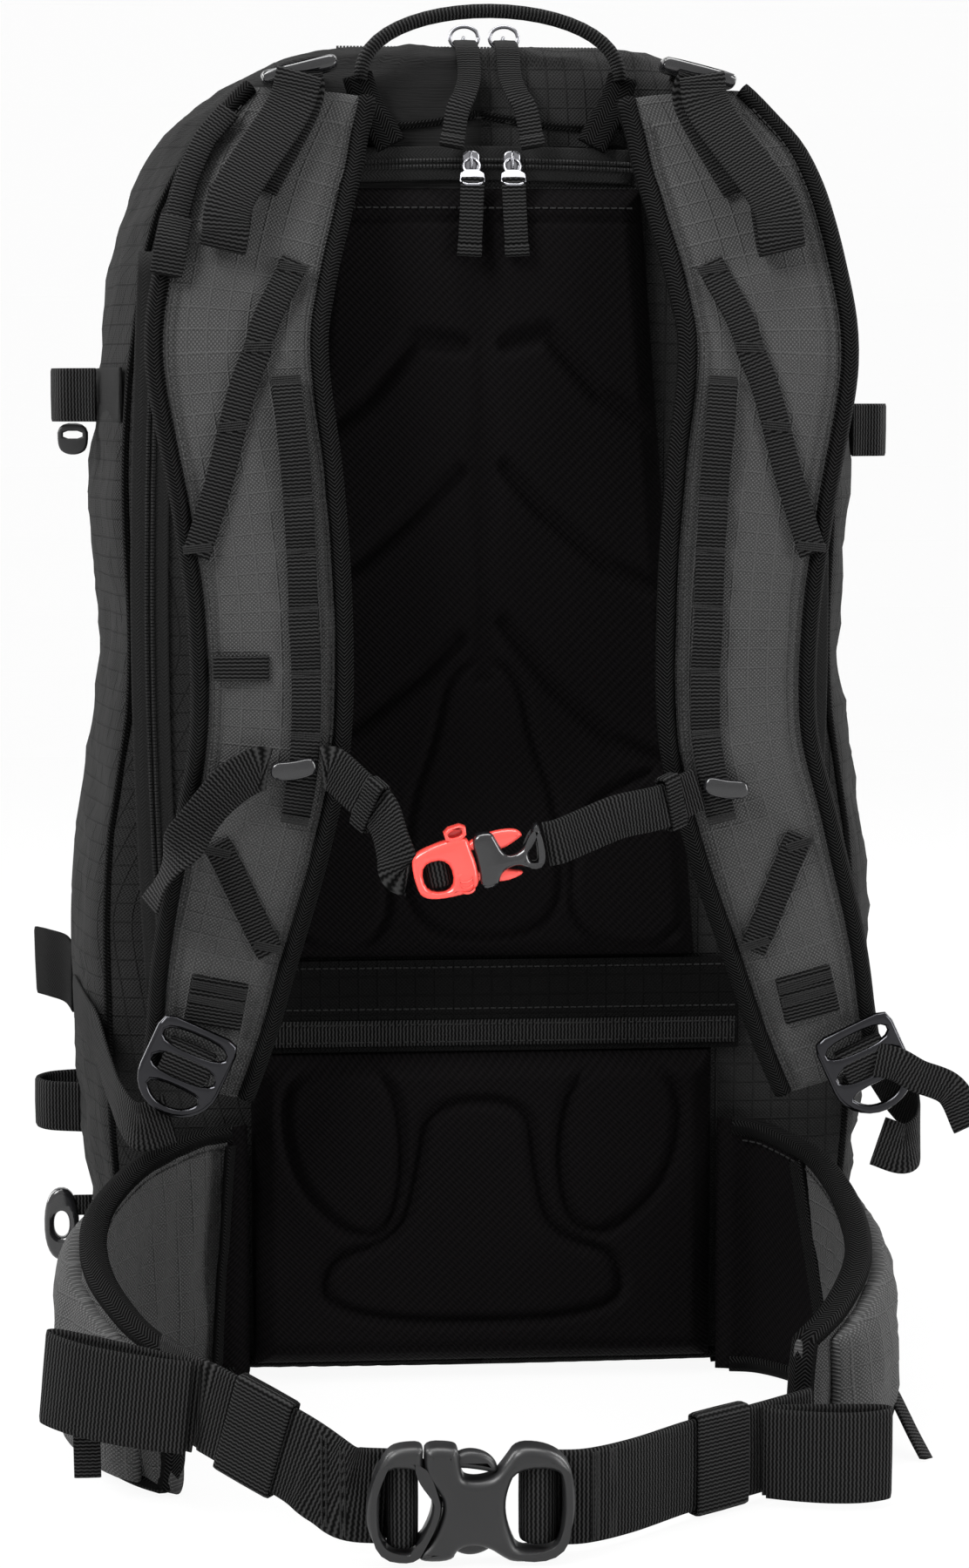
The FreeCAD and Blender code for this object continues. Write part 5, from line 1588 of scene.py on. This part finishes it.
# %% Load lifter webbing
for side, word in SIDES:
    x, y, z = LIFT_AT[side]
    top = (x, y - 12.0, z - 2)
    upper = on_strap(side, 0.02, side * 1.0, 1.7)
    sewn = on_strap(side, 0.105, side * 4.0, 1.7)
    u, s = Vector(in_mm(upper)), Vector(in_mm(sewn))
    webbing(f"lifter_laid_{word}", [s, u, top], (1, 0, 0), 20.0,
            replaces=["load_lifter_webbing"])
    tail = [Vector(top) + Vector((0, -1.9, 0)), u + Vector((side * 5, -9, -4)),
            s + Vector((side * 9, -15, -4)), s + Vector((side * 13, -20, -22)),
            s + Vector((side * 14, -17, -27)), s + Vector((side * 13, -13, -23)),
            s + Vector((side * 10, -10, -2))]
    webbing(f"lifter_tail_{word}", tail, (1, 0, 0.25 * side), 20.0,
            replaces=["load_lifter_webbing"])
    webbing(f"lifter_anchor_{word}", [(x, y + 11.5, z), (x, y + 17, z - 1),
            (x, y + (24 if side < 0 else 23), z - 3)], (1, 0, -0.25 * side), 20.0,
            replaces=["load_lifter_webbing"])
print("load lifters from", LIFT_AT)

# %% Webbing at the strap feet
FOOT_WEB = {
    -1: [(-186.4, 46, 168), (-183.3, 32, 166), (-179.5, 18, 163), (-174.4, 3, 158),
         (-168, -18, 144), (-161.7, -38, 134), (-153.7, -50.6, 128.5), (-139.7, -51.3, 132)],
    1: [(186.0, 46, 150), (182.9, 32, 148), (180.5, 18, 145), (186.0, -2, 134),
        (194.7, -24, 122), (192.5, -42, 116), (184.7, -50.8, 113), (172.7, -51.3, 117)]}
for side, word in SIDES:
    webbing(f"foot_webbing_{word}", FOOT_WEB[side], (0, 0.1 * side, 1), 22.5,
            replaces=["strap_webbing"])
x, y, z = LOCK_AT[1]
webbing("foot_tail", [(x + 3, y - 2.6, z + 4), (x + 12, y - 4.8, z + 2), (x + 21, y - 5.6, z - 3),
                      (203.5, -59.3, 141), (211.7, -60.3, 125)],
        (0.62, 0, 0.78), 15.0, 2.0, body="adjuster_right")
for side, word in SIDES:
    x, y, z = LOCK_AT[side]
    lean = math.radians(side * LOCK_TURN)
    axes = ((math.sin(lean) * -1, 0, math.cos(lean)), (-math.cos(lean), 0, -math.sin(lean)))
    wrap(f"foot_wrap_{word}", (x, y, z), -6.6, 11.2, 22.0, 1.8, axes=axes, deep=3.4,
         body=f"adjuster_{word}")
print("strap feet from", FOOT_WEB[-1][0], "and", FOOT_WEB[1][0])

# %% [markdown]
# ## Grab handle
# The handle is a round bound strip that arches over the crown between two flat feet.

# %% Handle
HANDLE_Y = 11.1 - 8.0
arch = [at(4 - 57 * math.cos(math.pi * i / 24), HANDLE_Y,
           583 + 30 * math.sin(math.pi * i / 24) ** 0.85) for i in range(25)]
tape("handle_strip", arch, Vector((0, 1, 0)), 0.0118, 0.0062, WEBBING, round_=True,
     body="handle", replaces=["grab_handle"])
for side, word in SIDES:
    x = 4 + side * 57
    flap = [at(x + side * 1.5, HANDLE_Y, 585), at(x - side * 2, HANDLE_Y - 2, 574),
            at(x - side * 8, HANDLE_Y - 5, 563.5), at(x - side * 13, HANDLE_Y - 7, 554.5)]
    tape(f"handle_foot_{word}", smooth_path(flap, 6), Vector((1, 0, 0)), 0.0135, 0.0030, BINDING)
print("handle arch", len(arch), "places")

# %% [markdown]
# ## Zips
# Two zips show: one across the top of the moulded panel and one along the crown. Each
# has a pair of sliders. A slider's wire loop holds a metal plate, and the plate holds
# a tab of webbing that is folded, sewn and easy to grip.

# %% Sliders and pulls
LOOP_TURNS = [2 * math.pi * k / 10 for k in range(11)]


def wire(name, points, radius, closed=False, **kw):
    """Round metal wire through places in mm."""
    line = smooth_path(places(points), 6)
    if closed:
        line = line[:-1]
    hint = (line[1] - line[0]).orthogonal()
    return tape(name, line, hint, 2 * radius * MM, 2 * radius * MM, GUNMETAL, round_=True,
                closed=closed, slot="steel", **kw)


def slider(name, spot, axes, node):
    """The slider's body: a shield shape with a raised bridge."""
    shield = rounded([(-3.9, 5.2), (3.9, 5.2), (4.0, 0), (2.7, -5.2), (-2.7, -5.2), (-4.0, 0)], 2)
    moulding(name, [shield], 3.2, 1.1, spot, GUNMETAL, axes=axes, body=node, replaces=[node],
             dome=0.3)
    across, up = plane(*axes)
    out = across.cross(up)
    bridge = [Vector(spot) + up * h + out * d
              for h, d in ((4.4, 1.0), (3.2, 2.6), (0, 3.2), (-3.2, 2.6), (-4.4, 1.0))]
    wire(name + "_bridge", bridge, 0.75, body=node)


PULL_WIDE = 10.4


def pull(name, route, node, plated=True):
    """A pull along a route in mm: wire loop and metal plate, then a webbing tab."""
    line = [Vector(p) for p in route]
    down = (line[1] - line[0]).normalized()
    across = Vector((1, 0, 0))
    across = (across - down * across.dot(down)).normalized()
    out = across.cross(down)
    out = out if out.y < 0 else -out
    if plated:
        loop = [line[0] + across * (3.6 * math.cos(a)) + down * (4.2 * math.sin(a) + 1.0)
                for a in LOOP_TURNS]
        wire(name + "_loop", loop, 0.8, closed=True, body=node)
        plate_at = line[0] + down * 7.6
        frame_rim = rounded([(-5.2, 4.4), (5.2, 4.4), (5.8, -4.6), (-5.8, -4.6)], 1)
        slot_hole = rounded([(-3.6, -1.0), (3.6, -1.0), (3.9, -3.4), (-3.9, -3.4)], 1)
        moulding(name + "_plate", [frame_rim, slot_hole], 1.5, 0.5, tuple(plate_at), GUNMETAL,
                 axes=(tuple(across), tuple(-down)), body=node)
        line = [line[0] + down * 9.4] + line[1:]
    tape(name + "_tab", smooth_path(places(line), 8), across, PULL_WIDE * MM, 2.2 * MM, WEBBING,
         body=node, replaces=[node])
    end, before = line[-1], line[-2]
    way = (end - before).normalized()
    tape(name + "_hem", places(end - way * d + out * 0.5 for d in (4.6, 3.0, 1.4, -0.2)), across,
         PULL_WIDE * 1.04 * MM, 3.2 * MM, WEBBING, body=node)


BACK_ZIP_Z, CROWN_Z, CROWN_ZIP_Y = 547.0, 600.0, 50.0
for side, word in SIDES:
    x = side * 9.0 + 4
    slider(f"panel_slider_{word}", (x, -3.6, BACK_ZIP_Z), FACING, f"back_slider_{word}")
    pull(f"panel_pull_{word}", [(x, -7.4, BACK_ZIP_Z - 1), (x, -13.4, BACK_ZIP_Z - 9),
         (x + side * 0.6, -14.6, BACK_ZIP_Z - 24), (x + side * 1.5, -14.8, BACK_ZIP_Z - 41)],
         f"back_pull_{word}")
    slider(f"crown_slider_{word}", (x, CROWN_ZIP_Y, CROWN_Z + 3.6), ((1, 0, 0), (0, 1, 0)),
           f"top_slider_{word}")
    pull(f"crown_pull_{word}", [(x, 44, CROWN_Z + 3.6), (x, 38, CROWN_Z + 3.2), (x, 22, 598.2),
         (x, 8, 585.4), (x + side * 2.5, -1.5, 576.8), (x + side * 6, -6.2, 569),
         (x + side * 9, -9.0, 553)], f"top_pull_{word}", plated=False)
    loop = [(x + 6.5 * math.cos(a), 44 + 0.4 * math.sin(a), CROWN_Z + 6.0 + 5.0 * math.sin(a))
            for a in LOOP_TURNS]
    wire(f"crown_loop_{word}", loop, 0.9, closed=True, body=f"top_pull_{word}")
slider("pocket_slider", (161.0, -114, 35.0), ((0.26, 0.96, 0), (0, 0, 1)), "hip_pocket_slider")
wire("pocket_loop", [(165.4, -115 + 3 * math.cos(a), 31 + 4 * math.sin(a)) for a in LOOP_TURNS],
     0.8, closed=True, body="hip_pocket_pull", replaces=["hip_pocket_pull"])
route = ((165.6, -116, 27), (169, -122, 20), (174, -131, 9), (178, -138, 1.0))
tape("pocket_tab", smooth_path(places(route), 8), Vector((0.5, 1, 0)), 0.0100, 0.0022, WEBBING,
     body="hip_pocket_pull")
print("zip pulls", PULL_WIDE, "mm wide")

# %% [markdown]
# ## Stitches, bar tacks and zip coils with Geometry Nodes
# Hundreds of small things repeat here: every thread of a seam and every turn of a
# coil. One node tree sets them out along any set of lines: it turns edges into
# curves, walks along them in equal steps and puts a short rod at each step. Its named
# inputs give the step and the size of the rod, so one tree does all three jobs.

# %% The tree that repeats along lines
def repeat_tree(name, material):
    tree = bpy.data.node_groups.new(name, "GeometryNodeTree")
    face = tree.interface
    face.new_socket("Geometry", in_out="INPUT", socket_type="NodeSocketGeometry")
    for label, value in (("Step", 0.0032), ("Length", 0.0023), ("Radius", 0.0004)):
        face.new_socket(label, in_out="INPUT", socket_type=SIZE).default_value = value
    face.new_socket("Geometry", in_out="OUTPUT", socket_type="NodeSocketGeometry")
    n = Nodes(tree)
    given, out = n.add("NodeGroupInput").outputs, n.add("NodeGroupOutput").inputs
    lines = n.add("GeometryNodeMeshToCurve")
    n.join(given["Geometry"], lines.inputs["Mesh"])
    walk = n.add("GeometryNodeCurveToPoints", mode="LENGTH")
    n.join(lines.outputs["Curve"], walk.inputs["Curve"])
    n.join(given["Step"], walk.inputs["Length"])
    rod = n.add("GeometryNodeMeshCylinder", fill_type="TRIANGLE_FAN")
    rod.inputs["Vertices"].default_value = 6
    n.join(given["Radius"], rod.inputs["Radius"])
    n.join(given["Length"], rod.inputs["Depth"])
    place = n.add("GeometryNodeInstanceOnPoints")
    n.join(walk.outputs["Points"], place.inputs["Points"])
    n.join(rod.outputs["Mesh"], place.inputs["Instance"])
    n.join(walk.outputs["Rotation"], place.inputs["Rotation"])
    real = n.add("GeometryNodeRealizeInstances")
    n.join(place.outputs["Instances"], real.inputs[0])
    finish = n.add("GeometryNodeSetMaterial")
    finish.inputs["Material"].default_value = material
    n.join(real.outputs[0], finish.inputs["Geometry"])
    n.join(finish.outputs[0], out["Geometry"])
    return tree


def repeat_along(name, lines, tree, step, length, radius, body=PACK):
    """Rods along lines of frame places, sizes in mm, made one plain mesh."""
    verts, edges = [], []
    for line in lines:
        start = len(verts)
        verts += [tuple(p) for p in line]
        edges += [(start + i, start + i + 1) for i in range(len(line) - 1)]
    data = bpy.data.meshes.new(name)
    data.from_pydata(verts, edges, [])
    obj = link(name, data)
    maker = obj.modifiers.new("repeat", "NODES")
    maker.node_group = tree
    sizes = {"Step": step, "Length": length, "Radius": radius}
    for item in tree.interface.items_tree:
        if item.in_out == "INPUT" and item.name in sizes:
            maker[item.identifier] = sizes[item.name] * MM
    apply_modifiers(obj)
    material = COIL_BLACK if tree == COILS else THREAD
    return dress(obj, material, body=body, slot="webbing")


THREADS = repeat_tree("thread_stitches", THREAD)
COILS = repeat_tree("zip_teeth", COIL_BLACK)
print("trees", THREADS.name, COILS.name)


# %% Zip coils
def zip_tape(name, line, across, wide, **kw):
    """The woven tape under a coil."""
    return tape(name, line, across, wide, 0.0009, ZIP_TAPE, **kw)


def coil_rows(line, across, lift):
    """The two rows of a coil, side by side on its tape."""
    return [[p + across * apart + lift for p in line] for apart in (COIL_HALF, -COIL_HALF)]


COIL_HALF, COIL_LIFT = 0.0013, 0.0009


up, deep = Vector((0, 0, 1)), Vector((0, 1, 0))
panel_zip = [at(x, -0.9, BACK_ZIP_Z - 1.5 * (x / 66.0) ** 2) for x in range(-66, 67, 6)]
crown_zip = [at(x, CROWN_ZIP_Y, CROWN_Z + 0.9) for x in range(-62, 63, 6)]
zip_tape("panel_zip_tape", panel_zip, up, 0.0150, replaces=["zip_coils"])
zip_tape("crown_zip_tape", crown_zip, deep, 0.0150, replaces=["zip_coils"])
coils = coil_rows(panel_zip, up, -deep * COIL_LIFT)
coils += coil_rows(crown_zip, deep, up * COIL_LIFT)


def back_at(x, z, proud=0.6):
    """A place on the bag's own back surface, in mm from the wall's plane."""
    hit = bag_skin.ray_cast(at(x, -60, z), Vector((0, 1, 0)))[0]
    return Vector((hit.x, hit.y - proud * MM, hit.z)) if hit else at(x, -proud, z)


def side_at(side, y, z, proud=1.0):
    """A place on the bag's side."""
    hit = bag_skin.ray_cast(at(side * 300, y, z), Vector((-side, 0, 0)))[0]
    return hit + Vector((side * proud * MM, 0, 0))


for side, word in SIDES:
    leg = [back_at(side * (143 + 5 * math.sin(math.pi * (z - 170) / 330)), z, 1.4)
           for z in range(508, 168, -10)]
    zip_tape(f"side_zip_tape_{word}", leg, Vector((1, 0, 0)), 0.0170)
    coils += coil_rows(leg, Vector((1, 0, 0)), -deep * COIL_LIFT)
repeat_along("zip_teeth", coils, COILS, 1.5, 1.05, 0.95)
print("zip lines", len(coils))

# %% Waist band under the moulded panel
BAND_PLAN = ((-117, -0.4), (-117, -3.6), (-115, -4.0), (115, -4.0), (117, -3.6), (117, -0.4))
corners = [at(x, y, z) for z in (150.4, 192.4) for x, y in BAND_PLAN]
band = add_piece("waist_band", corners,
                 [(0, 1, 7, 6), (1, 2, 8, 7), (2, 3, 9, 8), (3, 4, 10, 9), (4, 5, 11, 10),
                  (5, 0, 6, 11), (5, 4, 3, 2, 1, 0), (6, 7, 8, 9, 10, 11)],
                 [(p.x, p.z) for p in corners], smooth=False)
# The band wears the darker ripstop, whose darkness is painted shade.
dress(band, RIPSTOP_BAND_PAINTED_SHADE, slot="ripstop", replaces=["back_wall"])
tape("waist_tape", [at(x, -4.6, 159.0) for x in range(-116, 117, 4)], up, 0.0120, 0.0012,
     WEBBING)
print("waist band", len(band.data.polygons), "faces")


# %% Piping round the base
foot_line = []
for k in range(72):
    a = 2 * math.pi * k / 72
    far = Vector((math.sin(a), -math.cos(a), 0))
    core = Vector((0, CORE_Y, 0.006))
    hit = bag_skin.ray_cast(core + far * 0.6, -far)[0]
    if hit:
        foot_line.append(hit - far * 0.0012)
tape("base_piping", foot_line, up, 0.0050, 0.0050, BINDING, closed=True, round_=True)
print("base piping", len(foot_line), "places")


# %% Seams and bar tacks
STITCH = (3.3, 2.4, 0.38)      # step, length and radius of a seam's thread, in mm
TACK = (1.15, 1.3, 0.42)


def tack(side, share, across, wide):
    """A bar tack: short rows of thread close together across a tape."""
    return [[on_strap(side, share + k * 0.0022, across + end * wide / 2, 1.9)
             for end in (-1, 1)] for k in range(4)]


seams, tacks = [], []
for side in (-1, 1):
    inner = -side
    for hand in (-1, 1):
        for inset in (8.2, 9.6):
            seams.append(strap_edge(side, hand, inset, 0.15, 0.03, 0.99))
    for s in CHAIN_TACKS:
        tacks += tack(side, s, read(CHAIN, s) * inner, 11.0)
    for s, x, wide in ((0.17, 20 * inner, 11), (0.255, 9.5 * inner, 11), (0.33, -6 * inner, 11),
                       (0.44, -28 * inner, 11), (0.755, -14 * inner, 11), (0.835, 17 * inner, 11),
                       (0.885, 0, 23), (0.9, 0, 23)):
        tacks += tack(side, s, x, wide)
for z in (155.0, 163.0, 170.0, 189.0):
    proud = 5.3 if z < 165 else 4.15
    seams.append([at(x, -proud, z) for x in range(-114, 115, 4)])
seams.append([at(x, -FOAM - 0.4, 527.0) for x in range(-64, 65, 4)])
for side in (-1, 1):
    for gap in (5.0, 7.0):
        seams.append([p + Vector((-side * gap * MM, -0.0004, 0)) for p in EDGE_LINES[side][6:]])
    seams.append(wing_edge(side, 6, 54, 0.93, 0.0, -5.2))
for side in (-1, 1):
    a, b = (Vector(p) for p in BELT[side][1:3])
    run = (b - a).normalized()
    out = run.cross(Vector((0, 0, 1))).normalized()
    out = out if out.y < 0 else -out
    rows = [[at(*(a + run * d + out * 2.0 + Vector((0, 0, h)))) for h in (-17, -8, 0, 8, 17)]
            for d in (1.5, 3.5, 10.0, 12.0)]
    if side > 0:
        tacks += rows
    else:
        moving = repeat_along("belt_tacks", rows, THREADS, *TACK, body=None)
        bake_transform(moving)
repeat_along("seam_threads", seams, THREADS, *STITCH)
repeat_along("bar_tacks", tacks, THREADS, *TACK)
print("seam lines", len(seams), "tack rows", len(tacks))

# %% [markdown]
# ## Side gear
# Compression webbing hugs each side of the bag. On the left hang a tab with a hook, a
# loop for an axe and an oval toggle.

# %% Compression webbing and side loops
STRAP_AT = {-1: 446.0, 1: 430.0}
LOOP_RISE = ((42, 0.0), (46, 0.35), (50, 0.8), (58, 1.0), (66, 1.02), (74, 0.84), (80, 0.2),
             (84, 0.0))


def side_tape(name, line, width, thick, material=WEBBING):
    """A strip on the side of the bag, with its width upright."""
    tape(name, line, Vector((0, 0, 1)), width, thick, material, replaces=["side_webbing"])


for side, word, reach in ((-1, "left", 20), (1, "right", 18)):
    z = STRAP_AT[side]
    hug = [side_at(side, y, z, 1.9) for y in range(6, 112, 8)]
    side_tape(f"side_strap_{word}", smooth_path(hug, 3), 0.0245, 0.0017)
    base = side_at(side, 46, z, 4.2)
    out = Vector((side * MM, 0, 0))
    loop = [base + out * (reach * lift) + Vector((0, (y - 46) * MM, 0)) for y, lift in LOOP_RISE]
    side_tape(f"side_loop_{word}", smooth_path(loop, 6), 0.0245, 0.0017)
tab_x, loop_x = -189.4, -187.1
rows = [(tab_x + 1, 70, 172), (tab_x - 4, 88, 174), (tab_x - 13, 104, 174), (tab_x - 20, 124, 172)]
side_tape("side_tab", smooth_path(places(rows), 6), 0.033, 0.0024, BINDING)
rows = [(loop_x + 1, 80, 108), (loop_x - 15, 85, 108), (loop_x - 21, 96, 108),
        (loop_x - 15, 107, 108), (loop_x + 1, 112, 108)]
side_tape("axe_loop", smooth_path(places(rows), 8), 0.0240, 0.0032)
toggle_x = (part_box("cord_toggle")[0].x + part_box("cord_toggle")[1].x) / 2 / MM
moulding("toggle", [ring(8.4, 17.8, power=2.3), ring(3.6, 6.4, power=2.2)], 6.8, 2.6,
         (toggle_x, 92.0, 48.0), GLOSS_BLACK, body="toggle", slot="gloss_black",
         replaces=["cord_toggle"])
side_tape("toggle_tab", [at(toggle_x + 6 + d, 92.0, 57.0) for d in (0, 3, 6, 9)], 0.0100,
          0.0020)
hook_x = -184.2
hook_rim = rounded([(-7, 7.2), (7, 7.2), (7, -4), (3, -7.2), (-3, -7.2), (-7, -4)], 2)
hook_eye = rounded([(-4.4, 3.6), (4.4, 3.6), (4.4, 0.2), (-4.4, 0.2)], 1)
moulding("strap_hook", [hook_rim, hook_eye], 3.2, 1.1, (hook_x, 58.6, 426.0), SATIN_BLACK,
         body="hook", replaces=["side_hook"])
print("side gear at x", tab_x, loop_x, round(toggle_x, 1), hook_x)

# %% [markdown]
# ## Finishes of the carried solids
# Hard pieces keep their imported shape, because that is the shape the checks have
# tested, and only their finish is made here.

# %% Finish by node
RIPSTOP_SOLID = cloth("ripstop_solid", "ripstop", 0.0125, 0.021, uv=False, turn=(90, 0, 0),
                      sizes=[("Spacing", 0.0082)], bump=0.5)
FINISH = {
    CORAL: ("trigger_handle", "gauge_needle"),
    DARK_CHROME: ("valve_lever",),
    GUNMETAL: ("trigger_wire",),
    ALLOY: ("inflator", "gas_cartridge", "frame_stays"),
    SHEET: ("frame_sheet",),
    JACKET: ("trigger_cable_housing",),
    AIRBAG_RED: ("airbag",),
}
finished = {node for nodes in FINISH.values() for node in nodes}
FINISH[RIPSTOP_SOLID] = tuple(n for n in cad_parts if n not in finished)
for material, nodes in FINISH.items():
    for node in nodes:
        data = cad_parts[node].data
        data.materials.clear()
        data.materials.append(material)
print("finished", sum(len(nodes) for nodes in FINISH.values()), "solids")
